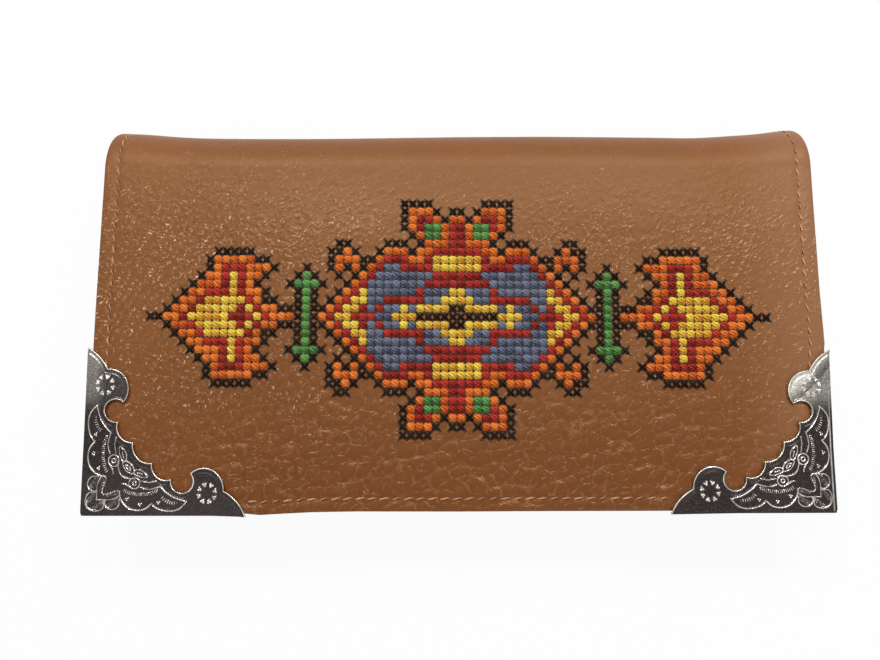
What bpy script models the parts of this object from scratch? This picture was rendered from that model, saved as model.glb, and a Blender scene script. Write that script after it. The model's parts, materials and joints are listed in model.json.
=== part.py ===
"""A long leather flap wallet with a cross-stitched flap and two stamped metal corners.

The wallet lies closed on its back. +X runs along its width, +Y points at the rolled fold,
+Z points up through the flap. The origin is under the middle of its outline, on the table.
The flap opens about two creases of the rolled spine, up and over the fold.
"""

import math

import bmesh
import bpy
from mathutils import Matrix, Vector

# Cover
FLAP_WIDTH = 0.188
WALLET_HEIGHT = 0.103
LEATHER = 0.0014
LINING = 0.0005
BODY_INSET = 0.0010
BODY_RECESS = 0.0030
FRONT_MOUTH_DROP = 0.0060
EDGE_ROUNDING = 0.0003

# Clearance between pieces that touch on the real wallet
GAP = 0.0003

# Pockets
POCKET_ROOM = 0.0042
COIN_WALL = 0.0006
COIN_MOUTH_DROP = 0.0095
GUSSET_SHEET = 0.0004
GUSSET_PLEAT = 0.0036
GUSSET_EDGE_INSET = 0.0008
GUSSET_TOP_DROP = 0.0015
CARD_STRIP = 0.0005
CARD_STRIP_STEP = 0.0140
CARD_STRIP_INSET = 0.0030
CARD_STRIP_COUNT = 3
CARD_STRIP_BASE = 0.0240

# Snap
SNAP_RADIUS = 0.0070
SNAP_SOCKET_HEIGHT = 0.0020
SNAP_DISC_HEIGHT = 0.0007
SNAP_PLUG_RADIUS = 0.0018
SNAP_PLUG_LENGTH = 0.0016
SNAP_HOLE_RADIUS = 0.0026
SNAP_FROM_EDGE = 0.0150

# Zip
ZIP_LENGTH = 0.150
ZIP_TAPE_LENGTH = 0.160
ZIP_TAPE = 0.0004
ZIP_TAPE_DEPTH = 0.0070
ZIP_PITCH = 0.0021
ZIP_TOOTH_WIDTH = 0.0011
ZIP_TOOTH_LENGTH = 0.0009
ZIP_BAR = 0.0005
ZIP_CHAIN_HEIGHT = 0.0014
ZIP_STOP_LENGTH = 0.0022
SLIDER_NECK = 0.0006
SLIDER_LENGTH = 0.0070
SLIDER_PLATE = 0.0008
SLIDER_FLANGE = 0.0004
SLIDER_NOSE = 0.0022
PULL_PIN_RADIUS = 0.00045
PULL_EYE_RADIUS = 0.00135
PULL_EYE_HOLE = 0.00080
PULL_WIDTH = 0.0046
PULL_EYE_WIDTH = 0.0022
PULL_LENGTH = 0.0115
PULL_SHEET = 0.0008
EAR_SHEET = 0.0005

# Embroidery: columns are counted out from the centre line, rows from the centre row
STITCH_WIDTH = 0.002117
STITCH_HEIGHT = 0.002166
PATTERN_FROM_EDGE = 0.0491
THREAD_LAYER = 0.0002
THREAD_GAP = 0.0001
FIELD_INSET = 0.00012

# Metal corners: outline measured from the outer corner, along one edge and up the other
CORNER_SHEET = 0.0005
CORNER_LENGTH = 0.0414
CORNER_SHOULDER = (0.0356, 0.0061)
CORNER_LOBE_TIP = (0.0273, 0.0103)
CORNER_BAY_CUSP = (0.0222, 0.0089)
CORNER_MIDDLE_CUSP = (0.0173, 0.0126)
TAIL_BULGE = 0.0008
LOBE_BULGE = 0.0031
BAY_BULGE = -0.0042
BITE_BULGE = -0.0017
CORNER_ROUNDING = 0.0010
CORNER_RETURN_LENGTH = 0.0260
CORNER_RETURN_SAG = 0.0035
RIM_RADIUS = 0.00035
BEAD_RING_CENTRE = (0.0319, 0.0055)
BEAD_RING_RADIUS = 0.0021
BEAD_RADIUS = 0.00042
BEAD_COUNT = 8
LINE_RADIUS = 0.00022
BOSS_CENTRE = (0.0083, 0.0083)
BOSS_RADIUS = 0.0019
RING_CENTRE = (0.0133, 0.0081)
RING_RADIUS = 0.0009
PETAL_LENGTH = 0.0020
PETAL_WIDTH = 0.0009
RELIEF_HEIGHT = 0.0004

# Heights, stacked up from the table
Z_BACK_LINING = LEATHER + GAP
Z_REAR_POCKET = Z_BACK_LINING + LINING
Z_COIN_REAR = Z_REAR_POCKET + POCKET_ROOM
Z_COIN = Z_COIN_REAR + COIN_WALL
Z_COIN_FRONT = Z_COIN + POCKET_ROOM
Z_FRONT_POCKET = Z_COIN_FRONT + COIN_WALL
Z_FRONT_LINING = Z_FRONT_POCKET + POCKET_ROOM
Z_FRONT_LEATHER = Z_FRONT_LINING + LINING + GAP
Z_FRONT_FACE = Z_FRONT_LEATHER + LEATHER
SNAP_ROOM = SNAP_SOCKET_HEIGHT + GAP + SNAP_DISC_HEIGHT
Z_FLAP_LINING = Z_FRONT_FACE + GAP + SNAP_ROOM + GAP
Z_FLAP_LEATHER = Z_FLAP_LINING + LINING + GAP
THICKNESS = Z_FLAP_LEATHER + LEATHER
Z_MIDDLE = (Z_COIN_REAR + Z_FRONT_POCKET) / 2

# Places across the wallet's height
FOLD_RADIUS = THICKNESS / 2
Y_FOLD = WALLET_HEIGHT / 2 - FOLD_RADIUS
Y_FLAP_EDGE = -WALLET_HEIGHT / 2 + CORNER_SHEET + GAP
BODY_RADIUS = Z_FRONT_FACE / 2
Y_BODY_ARC = Y_FLAP_EDGE + BODY_RECESS + BODY_RADIUS
Y_FRONT_MOUTH = Y_FOLD - FRONT_MOUTH_DROP
Y_COIN_MOUTH = Y_FOLD - COIN_MOUTH_DROP
Y_PATTERN = Y_FLAP_EDGE + PATTERN_FROM_EDGE
Y_SNAP = Y_FLAP_EDGE + SNAP_FROM_EDGE
BODY_WIDTH = FLAP_WIDTH - 2 * BODY_INSET
X_GUSSET = BODY_WIDTH / 2 - GUSSET_EDGE_INSET
COIN_HALF_WIDTH = X_GUSSET - GUSSET_SHEET / 2 - 2 * GAP

# Creases of the spine: a quarter roll about one of these lays its leather out flat
CREASE_OUT = (math.pi / 4) * FOLD_RADIUS
CREASE_UP = (1 - math.pi / 4) * FOLD_RADIUS
Y_CREASE = Y_FOLD + CREASE_OUT
Z_LOWER_CREASE = CREASE_UP
Z_UPPER_CREASE = THICKNESS - CREASE_UP

# Zip chain, from the middle of the coin pocket outwards
TEETH_TIP = SLIDER_NECK / 2 + GAP
TEETH_ROOT = TEETH_TIP + ZIP_TOOTH_LENGTH
CHAIN_EDGE = TEETH_ROOT + ZIP_BAR
Y_CHAIN = Y_COIN_MOUTH + GAP
Y_CHAIN_TOP = Y_CHAIN + ZIP_CHAIN_HEIGHT
Y_SLIDER_TOP = Y_CHAIN_TOP + GAP + SLIDER_PLATE
X_SLIDER = -ZIP_LENGTH / 2 + SLIDER_LENGTH / 2 + GAP
Y_PIN = Y_SLIDER_TOP + GAP + PULL_EYE_RADIUS


def clear_scene():
    for item in list(bpy.data.objects):
        bpy.data.objects.remove(item, do_unlink=True)


def new_collection(name):
    collection = bpy.data.collections.new(name)
    bpy.context.scene.collection.children.link(collection)
    return collection


clear_scene()
WALLET = new_collection("wallet")
CUTTERS = new_collection("cutters")


def material(name, colour, roughness, metallic=0.0):
    made = bpy.data.materials.new(name)
    made.use_nodes = True
    shader = made.node_tree.nodes["Principled BSDF"]
    shader.inputs["Base Color"].default_value = (*colour, 1.0)
    shader.inputs["Roughness"].default_value = roughness
    shader.inputs["Metallic"].default_value = metallic
    return made


TAN = material("tan_leather", (0.24, 0.10, 0.040), 0.50)
TAN_FLAP = material("tan_flap_leather", (0.27, 0.12, 0.050), 0.48)
LINING_BROWN = material("brown_lining", (0.10, 0.045, 0.022), 0.80)
STRIP_TAN = material("card_strip_leather", (0.22, 0.095, 0.040), 0.55)
TAPE_BROWN = material("zip_tape", (0.06, 0.03, 0.018), 0.85)
BRASS = material("zip_brass", (0.55, 0.38, 0.14), 0.35, 1.0)
SILVER = material("antique_silver", (0.42, 0.41, 0.38), 0.28, 1.0)
SNAP_METAL = material("snap_metal", (0.50, 0.48, 0.44), 0.30, 1.0)
BLACK = material("black_thread", (0.010, 0.008, 0.010), 0.75)
ORANGE = material("orange_thread", (0.85, 0.15, 0.015), 0.70)
RED = material("dark_red_thread", (0.25, 0.015, 0.020), 0.70)
YELLOW = material("yellow_thread", (0.75, 0.50, 0.035), 0.70)
BLUE = material("blue_grey_thread", (0.085, 0.11, 0.20), 0.70)
GREEN = material("green_thread", (0.045, 0.26, 0.080), 0.70)


def link(item, colour, collection=WALLET):
    collection.objects.link(item)
    item.data.materials.append(colour)
    return item


def hang_on(item, parent):
    bpy.context.view_layer.update()
    item.parent = parent
    item.matrix_parent_inverse = parent.matrix_world.inverted()
    return item


def joint_empty(name, place, parent=None):
    marker = bpy.data.objects.new(name, None)
    marker.location = place
    marker.empty_display_size = 0.005
    WALLET.objects.link(marker)
    bpy.context.view_layer.update()
    if parent:
        hang_on(marker, parent)
    return marker


def round_edges(item, width=EDGE_ROUNDING, segments=2):
    bevel = item.modifiers.new("rounded edges", "BEVEL")
    bevel.width = width
    bevel.segments = segments
    bevel.limit_method = "ANGLE"
    bevel.angle_limit = math.radians(50)
    return item


def thicken(item, thickness, offset):
    shell = item.modifiers.new("thickness", "SOLIDIFY")
    shell.thickness = thickness
    shell.offset = offset
    shell.use_even_offset = True
    return item


def flat_piece(name, loops, bottom, thickness, colour, collection=WALLET):
    """A flat outline in the XY plane, given its thickness upwards from bottom."""
    curve = bpy.data.curves.new(name, "CURVE")
    curve.dimensions = "2D"
    curve.fill_mode = "BOTH"
    curve.extrude = thickness / 2
    for loop in loops:
        spline = curve.splines.new("POLY")
        spline.points.add(len(loop) - 1)
        for point, (x, y) in zip(spline.points, loop):
            point.co = (x, y, 0.0, 1.0)
        spline.use_cyclic_u = True
    item = bpy.data.objects.new(name, curve)
    item.location.z = bottom + thickness / 2
    return link(item, colour, collection)


def side_piece(name, loop, half_width, colour, collection=WALLET):
    """An outline in the YZ plane, drawn out to half_width on both sides of the centre."""
    item = flat_piece(name, [loop], 0.0, 2 * half_width, colour, collection)
    item.location.z = 0.0
    item.rotation_euler = (math.radians(90), 0.0, math.radians(90))
    return item


def front_piece(name, loop, y_start, depth, colour, collection=WALLET):
    """An outline in the XZ plane, drawn out along +Y from y_start."""
    item = flat_piece(name, [loop], 0.0, depth, colour, collection)
    item.location = (0.0, y_start + depth / 2, 0.0)
    item.rotation_euler = (math.radians(90), 0.0, 0.0)
    return item


def solid_mesh(item, collection=WALLET):
    """Swap a curve for the closed mesh that it draws."""
    bpy.context.view_layer.update()
    shape = item.evaluated_get(bpy.context.evaluated_depsgraph_get())
    data = bpy.data.meshes.new_from_object(shape)
    body = bmesh.new()
    body.from_mesh(data)
    bmesh.ops.remove_doubles(body, verts=body.verts, dist=0.000001)
    bmesh.ops.recalc_face_normals(body, faces=body.faces)
    body.to_mesh(data)
    body.free()
    name = item.name
    made = bpy.data.objects.new(name, data)
    made.matrix_world = item.matrix_world.copy()
    old = item.data
    bpy.data.objects.remove(item, do_unlink=True)
    bpy.data.curves.remove(old)
    made.name = name
    collection.objects.link(made)
    return made


def sheet(name, section, start, sweep, thickness, offset, colour):
    """A sheet swept straight along one axis from a section, then given its thickness."""
    data = bpy.data.meshes.new(name)
    body = bmesh.new()
    row = [body.verts.new(start + point) for point in section]
    edges = [body.edges.new(pair) for pair in zip(row, row[1:])]
    grown = bmesh.ops.extrude_edge_only(body, edges=edges)["geom"]
    far = [piece for piece in grown if isinstance(piece, bmesh.types.BMVert)]
    bmesh.ops.translate(body, verts=far, vec=sweep)
    body.to_mesh(data)
    body.free()
    item = bpy.data.objects.new(name, data)
    thicken(item, thickness, offset)
    return link(item, colour)


def arc_points(centre, radius, start, end, steps):
    """Points along an arc; angles in radians, from +Y towards +Z."""
    points = []
    for step in range(steps + 1):
        angle = start + (end - start) * step / steps
        y = centre[0] + radius * math.cos(angle)
        z = centre[1] + radius * math.sin(angle)
        points.append(Vector((0.0, y, z)))
    return points


def join(item, collection_name, parts, operation="UNION"):
    """Join or cut an object with a set of meshes that are kept among the cutters."""
    group = bpy.data.collections.new(collection_name)
    CUTTERS.children.link(group)
    for part in parts:
        group.objects.link(part)
        part.hide_render = True
        part.display_type = "WIRE"
    change = item.modifiers.new("joined" if operation == "UNION" else "cut", "BOOLEAN")
    change.operation = operation
    change.operand_type = "COLLECTION"
    change.collection = group
    change.solver = "EXACT"
    change.use_self = operation == "UNION"
    return item


def bent_cover(name, inset, thickness, half_width, front_end, colour):
    """A sheet that runs along the back, round the bottom and up the front of the body."""
    radius = BODY_RADIUS - inset
    bottom = arc_points((Y_BODY_ARC, BODY_RADIUS), radius, math.radians(270), math.radians(90), 14)
    back_end = Vector((0.0, Y_FOLD - GAP, inset))
    front = Vector((0.0, front_end, Z_FRONT_FACE - inset))
    section = [back_end, *bottom, front]
    start = Vector((-half_width, 0.0, 0.0))
    sweep = Vector((2 * half_width, 0.0, 0.0))
    return sheet(name, section, start, sweep, thickness, -1.0, colour)


def body_shells():
    leather = bent_cover("body_leather", 0.0, LEATHER, BODY_WIDTH / 2, Y_FRONT_MOUTH, TAN)
    round_edges(leather)
    inset = LEATHER + GAP
    bent_cover("body_lining", inset, LINING, BODY_WIDTH / 2, Y_FRONT_MOUTH, LINING_BROWN)


def coin_pocket():
    """One folded sheet: rear wall, round bottom and front wall."""
    radius = (Z_FRONT_POCKET - Z_COIN_REAR) / 2
    lining_bottom = Y_BODY_ARC - (Z_MIDDLE - Z_REAR_POCKET)
    centre = (lining_bottom + GAP + radius, Z_MIDDLE)
    bottom = arc_points(centre, radius, math.radians(270), math.radians(90), 10)
    rear_end = Vector((0.0, Y_COIN_MOUTH, Z_COIN_REAR))
    front_end = Vector((0.0, Y_COIN_MOUTH, Z_FRONT_POCKET))
    section = [rear_end, *bottom, front_end]
    start = Vector((-COIN_HALF_WIDTH, 0.0, 0.0))
    sweep = Vector((2 * COIN_HALF_WIDTH, 0.0, 0.0))
    sheet("coin_pocket", section, start, sweep, COIN_WALL, -1.0, LINING_BROWN)
    return centre[0]


def gusset(name, side, y_bottom):
    """A pleated side wall: one soft fold inwards for each of the three pockets."""
    rear_wall = Z_COIN_REAR + COIN_WALL / 2
    front_wall = Z_COIN_FRONT + COIN_WALL / 2
    stations = [Z_REAR_POCKET + GAP, rear_wall, front_wall, Z_FRONT_LINING - GAP]
    steps = 10
    section = []
    for low, high in zip(stations, stations[1:]):
        for step in range(steps):
            part = step / steps
            fold = GUSSET_PLEAT * math.sin(math.pi * part) ** 2
            section.append(Vector((side * (X_GUSSET - fold), 0.0, low + (high - low) * part)))
    section.append(Vector((side * X_GUSSET, 0.0, stations[-1])))
    y_top = Y_FRONT_MOUTH - GUSSET_TOP_DROP
    start = Vector((0.0, y_bottom, 0.0))
    sweep = Vector((0.0, y_top - y_bottom, 0.0))
    item = sheet(name, section, start, sweep, GUSSET_SHEET, 0.0, LINING_BROWN)
    room = Z_MIDDLE - Z_REAR_POCKET - GAP
    past = Y_FOLD
    outline = arc_points((Y_BODY_ARC, Z_MIDDLE), room, math.radians(90), math.radians(270), 14)
    loop = [(point.y, point.z) for point in outline]
    loop += [(past, Z_MIDDLE - room), (past, Z_MIDDLE + room)]
    keep = side_piece(name + "_room", loop, FLAP_WIDTH / 2, LINING_BROWN, CUTTERS)
    keep = solid_mesh(keep, CUTTERS)
    CUTTERS.objects.unlink(keep)
    join(item, name + "_cut", [keep], "INTERSECT")


def rectangle(half_width, low, high):
    return [(-half_width, low), (half_width, low), (half_width, high), (-half_width, high)]


def card_strips():
    """Stepped strips of thin leather on the front, each one behind the next."""
    half_width = BODY_WIDTH / 2 - CARD_STRIP_INSET
    base = Y_FLAP_EDGE + CARD_STRIP_BASE
    names = ["card_strip_top", "card_strip_middle", "card_strip_bottom"]
    for number, name in enumerate(names[:CARD_STRIP_COUNT]):
        bottom = Z_FRONT_FACE + GAP + number * (CARD_STRIP + GAP)
        top_edge = Y_FRONT_MOUTH - GUSSET_TOP_DROP - CARD_STRIP_STEP * (number + 0.3)
        flat_piece(name, [rectangle(half_width, base, top_edge)], bottom, CARD_STRIP, STRIP_TAN)


def turned(name, profile, place, colour):
    """A round piece turned from a closed profile of (radius, height) points."""
    data = bpy.data.meshes.new(name)
    body = bmesh.new()
    ring = [body.verts.new((radius, 0.0, height)) for radius, height in profile]
    for pair in zip(ring, ring[1:]):
        body.edges.new(pair)
    if profile[0][0] > 0:
        body.edges.new((ring[-1], ring[0]))
    body.to_mesh(data)
    body.free()
    item = bpy.data.objects.new(name, data)
    item.location = place
    screw = item.modifiers.new("turned", "SCREW")
    screw.steps = 28
    screw.render_steps = 28
    screw.use_merge_vertices = True
    screw.merge_threshold = 0.00001
    return link(item, colour)


def snap(flap):
    place = Vector((0.0, Y_SNAP, 0.0))
    chamfer = GAP
    base = Z_FRONT_FACE + GAP
    top = base + SNAP_SOCKET_HEIGHT
    socket = [
        (SNAP_RADIUS, top - chamfer),
        (SNAP_RADIUS, base),
        (SNAP_HOLE_RADIUS, base),
        (SNAP_HOLE_RADIUS, top),
        (SNAP_RADIUS - chamfer, top),
    ]
    turned("snap_socket", socket, place, SNAP_METAL)
    disc_top = Z_FLAP_LINING - GAP
    disc_bottom = disc_top - SNAP_DISC_HEIGHT
    plug_end = disc_bottom - SNAP_PLUG_LENGTH
    stud = [
        (0.0, disc_top),
        (SNAP_RADIUS, disc_top),
        (SNAP_RADIUS, disc_bottom),
        (SNAP_PLUG_RADIUS, disc_bottom),
        (SNAP_PLUG_RADIUS, plug_end),
        (0.0, plug_end),
    ]
    hang_on(turned("snap_stud", stud, place, SNAP_METAL), flap)


def zip_comb(name, side):
    """One row of teeth on its bar, as a comb outline in the XZ plane."""
    count = int(ZIP_LENGTH / ZIP_PITCH)
    tip = Z_MIDDLE + side * TEETH_TIP
    root = Z_MIDDLE + side * TEETH_ROOT
    edge = Z_MIDDLE + side * CHAIN_EDGE
    start = -count * ZIP_PITCH / 2
    space = (ZIP_PITCH - ZIP_TOOTH_WIDTH) / 2
    loop = [(start, root)]
    for number in range(count):
        left = start + number * ZIP_PITCH + space
        right = left + ZIP_TOOTH_WIDTH
        loop += [(left, root), (left, tip), (right, tip), (right, root)]
    loop += [(-start, root), (-start, edge), (start, edge)]
    front_piece(name, loop, Y_CHAIN, ZIP_CHAIN_HEIGHT, BRASS)


def zip_tape(name, side):
    inner = Z_MIDDLE + side * (POCKET_ROOM / 2 - GAP - ZIP_TAPE)
    outer = Z_MIDDLE + side * (POCKET_ROOM / 2 - GAP)
    half = ZIP_TAPE_LENGTH / 2
    loop = [(-half, inner), (half, inner), (half, outer), (-half, outer)]
    front_piece(name, loop, Y_COIN_MOUTH - ZIP_TAPE_DEPTH, ZIP_TAPE_DEPTH, TAPE_BROWN)


def zip_stop(name, side):
    near = side * (ZIP_LENGTH / 2 + GAP)
    far = near + side * ZIP_STOP_LENGTH
    low = Z_MIDDLE - CHAIN_EDGE
    high = Z_MIDDLE + CHAIN_EDGE
    loop = [(near, low), (far, low), (far, high), (near, high)]
    round_edges(solid_mesh(front_piece(name, loop, Y_CHAIN, ZIP_CHAIN_HEIGHT, BRASS)), GAP, 2)
    bpy.data.objects[name].data.materials.append(BRASS)


def block(name, low, high):
    """A box between two opposite corners."""
    data = bpy.data.meshes.new(name)
    body = bmesh.new()
    bmesh.ops.create_cube(body, size=1.0)
    size = Vector(high) - Vector(low)
    middle = (Vector(high) + Vector(low)) / 2
    bmesh.ops.scale(body, verts=body.verts, vec=size)
    bmesh.ops.translate(body, verts=body.verts, vec=middle)
    body.to_mesh(data)
    body.free()
    return bpy.data.objects.new(name, data)


def rod(name, centre, radius, length, sides=16):
    """A round bar along Z."""
    data = bpy.data.meshes.new(name)
    body = bmesh.new()
    place = Matrix.Translation(centre)
    bmesh.ops.create_cone(
        body,
        cap_ends=True,
        segments=sides,
        radius1=radius,
        radius2=radius,
        depth=length,
        matrix=place,
    )
    body.to_mesh(data)
    body.free()
    return bpy.data.objects.new(name, data)


def zip_slider(start):
    """Top plate with flanges, a neck between the rows, a bottom plate, two ears and a pin."""
    half = SLIDER_LENGTH / 2
    reach = CHAIN_EDGE + GAP + SLIDER_FLANGE
    overlap = SLIDER_PLATE / 4
    top_low = Y_SLIDER_TOP - SLIDER_PLATE
    under_top = Y_CHAIN - GAP
    under_reach = POCKET_ROOM / 2 - ZIP_TAPE - 3 * GAP
    outline = [
        (X_SLIDER - half, Z_MIDDLE - reach),
        (X_SLIDER + half - SLIDER_NOSE, Z_MIDDLE - reach),
        (X_SLIDER + half, Z_MIDDLE - reach / 2),
        (X_SLIDER + half, Z_MIDDLE + reach / 2),
        (X_SLIDER + half - SLIDER_NOSE, Z_MIDDLE + reach),
        (X_SLIDER - half, Z_MIDDLE + reach),
    ]
    top = front_piece("zip_slider", outline, top_low, SLIDER_PLATE, BRASS)
    top = solid_mesh(top)
    top.data.materials.append(BRASS)
    parts = []
    for side in (-1, 1):
        inner = Z_MIDDLE + side * (reach - SLIDER_FLANGE)
        outer = Z_MIDDLE + side * reach
        low = (X_SLIDER - half, Y_CHAIN, min(inner, outer))
        high = (X_SLIDER + half - SLIDER_NOSE, top_low + overlap, max(inner, outer))
        parts.append(block("flange", low, high))
        inner = Z_MIDDLE + side * (PULL_EYE_WIDTH / 2 + GAP)
        outer = inner + side * EAR_SHEET
        low = (X_SLIDER - PULL_EYE_RADIUS, Y_SLIDER_TOP - overlap, min(inner, outer))
        high = (X_SLIDER + PULL_EYE_RADIUS, Y_PIN, max(inner, outer))
        parts.append(block("ear", low, high))
        crown = Vector((X_SLIDER, Y_PIN, (inner + outer) / 2))
        parts.append(rod("ear_crown", crown, PULL_EYE_RADIUS, EAR_SHEET))
    neck_low = (X_SLIDER - half / 2, under_top - overlap, Z_MIDDLE - SLIDER_NECK / 2)
    neck_high = (X_SLIDER + half / 2, top_low + overlap, Z_MIDDLE + SLIDER_NECK / 2)
    parts.append(block("neck", neck_low, neck_high))
    under_low = (X_SLIDER - half, under_top - SLIDER_PLATE, Z_MIDDLE - under_reach)
    under_high = (X_SLIDER + half, under_top, Z_MIDDLE + under_reach)
    parts.append(block("bottom_plate", under_low, under_high))
    pin_length = PULL_EYE_WIDTH + 2 * GAP + EAR_SHEET
    parts.append(rod("pin", Vector((X_SLIDER, Y_PIN, Z_MIDDLE)), PULL_PIN_RADIUS, pin_length))
    join(top, "slider_parts", parts)
    hang_on(top, start)


def zip_pull(axis):
    """A flat tab with an eye round the slider's pin; at rest it lies along the teeth."""
    eye = PULL_EYE_WIDTH / 2
    wide = PULL_WIDTH / 2
    neck_end = X_SLIDER + PULL_EYE_RADIUS + 2 * GAP
    shoulder = neck_end + wide
    end = X_SLIDER + PULL_LENGTH
    outline = [(X_SLIDER, Z_MIDDLE - eye), (neck_end, Z_MIDDLE - eye), (shoulder, Z_MIDDLE - wide)]
    for step in range(9):
        angle = math.radians(-90 + 180 * step / 8)
        x = end - wide + wide * math.cos(angle)
        outline.append((x, Z_MIDDLE + wide * math.sin(angle)))
    outline += [(shoulder, Z_MIDDLE + wide), (neck_end, Z_MIDDLE + eye), (X_SLIDER, Z_MIDDLE + eye)]
    tab = front_piece("zip_pull", outline, Y_PIN - PULL_SHEET / 2, PULL_SHEET, BRASS)
    tab = solid_mesh(tab)
    tab.data.materials.append(BRASS)
    place = Vector((X_SLIDER, Y_PIN, Z_MIDDLE))
    join(tab, "pull_eye", [rod("eye", place, PULL_EYE_RADIUS, PULL_EYE_WIDTH, 20)])
    hole = rod("eye_hole", place, PULL_EYE_HOLE, 2 * PULL_EYE_WIDTH, 16)
    join(tab, "pull_hole", [hole], "DIFFERENCE")
    hang_on(tab, axis)


def zip_closure():
    start = joint_empty("zip_slide_start", (X_SLIDER, Y_CHAIN, Z_MIDDLE))
    axis = joint_empty("zip_pull_axis", (X_SLIDER, Y_PIN, Z_MIDDLE), start)
    for name, side in (("rear", -1), ("front", 1)):
        zip_comb("zip_teeth_" + name, side)
        zip_tape("zip_tape_" + name, side)
    zip_stop("zip_stop_closed", -1)
    zip_stop("zip_stop_open", 1)
    zip_slider(start)
    zip_pull(axis)


def spine_sheet(name, inset, thickness, colour, parent):
    """Half a roll of leather from the back panel round to the flap."""
    radius = FOLD_RADIUS - inset
    split = math.asin(GAP / radius)
    quarter = math.radians(90)
    centre = (Y_FOLD, FOLD_RADIUS)
    section = arc_points(centre, radius, split - quarter, quarter - split, 24)
    start = Vector((-FLAP_WIDTH / 2, 0.0, 0.0))
    sweep = Vector((FLAP_WIDTH, 0.0, 0.0))
    item = sheet(name, section, start, sweep, thickness, 1.0, colour)
    hang_on(item, parent)
    return item


def spine(axis):
    round_edges(spine_sheet("spine_leather", 0.0, LEATHER, TAN, axis))
    spine_sheet("spine_lining", LEATHER + GAP, LINING, LINING_BROWN, axis)


def flap_sheets(axis):
    outline = rectangle(FLAP_WIDTH / 2, Y_FLAP_EDGE, Y_FOLD - GAP)
    leather = flat_piece("flap_leather", [outline], Z_FLAP_LEATHER, LEATHER, TAN_FLAP)
    leather = solid_mesh(leather)
    leather.data.materials.append(TAN_FLAP)
    hang_on(round_edges(leather), axis)
    lining = flat_piece("flap_lining", [outline], Z_FLAP_LINING, LINING, LINING_BROWN)
    hang_on(lining, axis)


def bar(first, last, low, high):
    """Cells of a solid bar: columns first to last, rows low to high."""
    return {(c, r) for c in range(first, last + 1) for r in range(low, high + 1)}


def stairs(reach, low, high, first=1):
    """Cells from column first out to a stepped diagonal that loses one column a row."""
    return {(c, r) for r in range(low, high + 1) for c in range(first, reach - r + 1)}


def ear(inset):
    """The square ear over the medallion's shoulder, set in by whole stitches."""
    return bar(1, 7 - inset, 10 + inset, 14 - inset)


def medallion_ground():
    cells = stairs(18, 0, 7) | bar(1, 12, 7, 7) | bar(1, 10, 8, 8) | bar(1, 9, 9, 9)
    cells |= bar(1, 6, 10, 10) | bar(1, 7, 11, 13) | bar(4, 7, 14, 14)
    holes = {(6, 9), (2, 13)}
    flower = bar(14, 16, 6, 6) | bar(13, 16, 7, 8) | bar(14, 15, 9, 9) | {(13, 6), (15, 5)}
    return (cells - holes) | flower


def arrow_ground():
    return bar(18, 20, 0, 5) | bar(17, 21, 4, 4) | {(19, 6)}


def palmette(inset, inner):
    """A palmette filled to its outer stepped edge; inner gives the first column of each row."""
    outer = {0: 38 - 2 * inset, 7: 31, 8: 30}
    cells = set()
    for row, first in inner.items():
        last = outer.get(row, 37 - row) - (inset if row not in (0, 7, 8) else 0)
        cells |= {(column, row) for column in range(first, last + 1)}
    return cells


def ground_cells():
    edge = {0: 21, 1: 21, 2: 23, 3: 24, 4: 25, 5: 24, 6: 23, 7: 24, 8: 26}
    return medallion_ground() | arrow_ground() | palmette(0, edge)


def medallion_orange():
    cells = stairs(17, 0, 7) | (bar(1, 9, 8, 8) - {(6, 8)}) | bar(1, 4, 9, 9)
    return cells | bar(1, 5, 10, 10) | (bar(1, 6, 11, 12) - {(2, 12)}) | bar(4, 6, 13, 13)


def medallion_red():
    return stairs(16, 0, 6) | bar(1, 4, 7, 7) | bar(7, 9, 7, 7) | bar(1, 3, 8, 8) | bar(1, 1, 9, 11)


def medallion_blue():
    cells = bar(9, 10, 0, 0) | bar(8, 11, 1, 1) | bar(10, 11, 2, 2) | bar(6, 11, 3, 3)
    return cells | bar(5, 11, 4, 4) | bar(4, 10, 5, 5) | bar(8, 9, 6, 6)


def chevron():
    return bar(14, 15, 0, 0) | bar(13, 14, 1, 1) | bar(12, 13, 2, 2) | {(12, 3)}


def star():
    return bar(1, 8, 0, 0) | bar(1, 5, 1, 1) | {(7, 1)} | bar(1, 2, 2, 2) | {(1, 3)}


def star_centre():
    return bar(1, 5, 0, 0) | {(1, 1)}


def flower():
    return {(13, 6), (15, 6)} | bar(13, 15, 7, 7) | {(14, 8)}


def arrow():
    return bar(19, 19, 0, 5) | bar(18, 20, 4, 4)


def palmette_orange():
    cells = bar(21, 36, 0, 0) | bar(23, 35, 1, 1) | bar(25, 34, 2, 2) | bar(25, 33, 3, 3)
    return cells | bar(26, 32, 4, 4) | bar(25, 31, 5, 5) | bar(24, 30, 6, 6) | bar(26, 30, 7, 7)


def palmette_red():
    cells = bar(24, 34, 0, 0) | bar(25, 33, 1, 1) | bar(26, 32, 2, 2) | bar(27, 31, 3, 3)
    return cells | bar(27, 29, 4, 6)


def palmette_yellow():
    return bar(29, 33, 0, 0) | bar(28, 32, 1, 1) | bar(27, 31, 2, 2) | bar(28, 28, 3, 5)


def mirrored(quarter, across=(-1, 1), along=(-1, 1)):
    """Turn cells of one quarter into lattice cells on the chosen sides of both centre lines."""
    cells = set()
    for column, row in quarter:
        for side in across:
            for way in along:
                cells.add((column - 1 if side > 0 else -column, way * row))
    return cells


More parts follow.
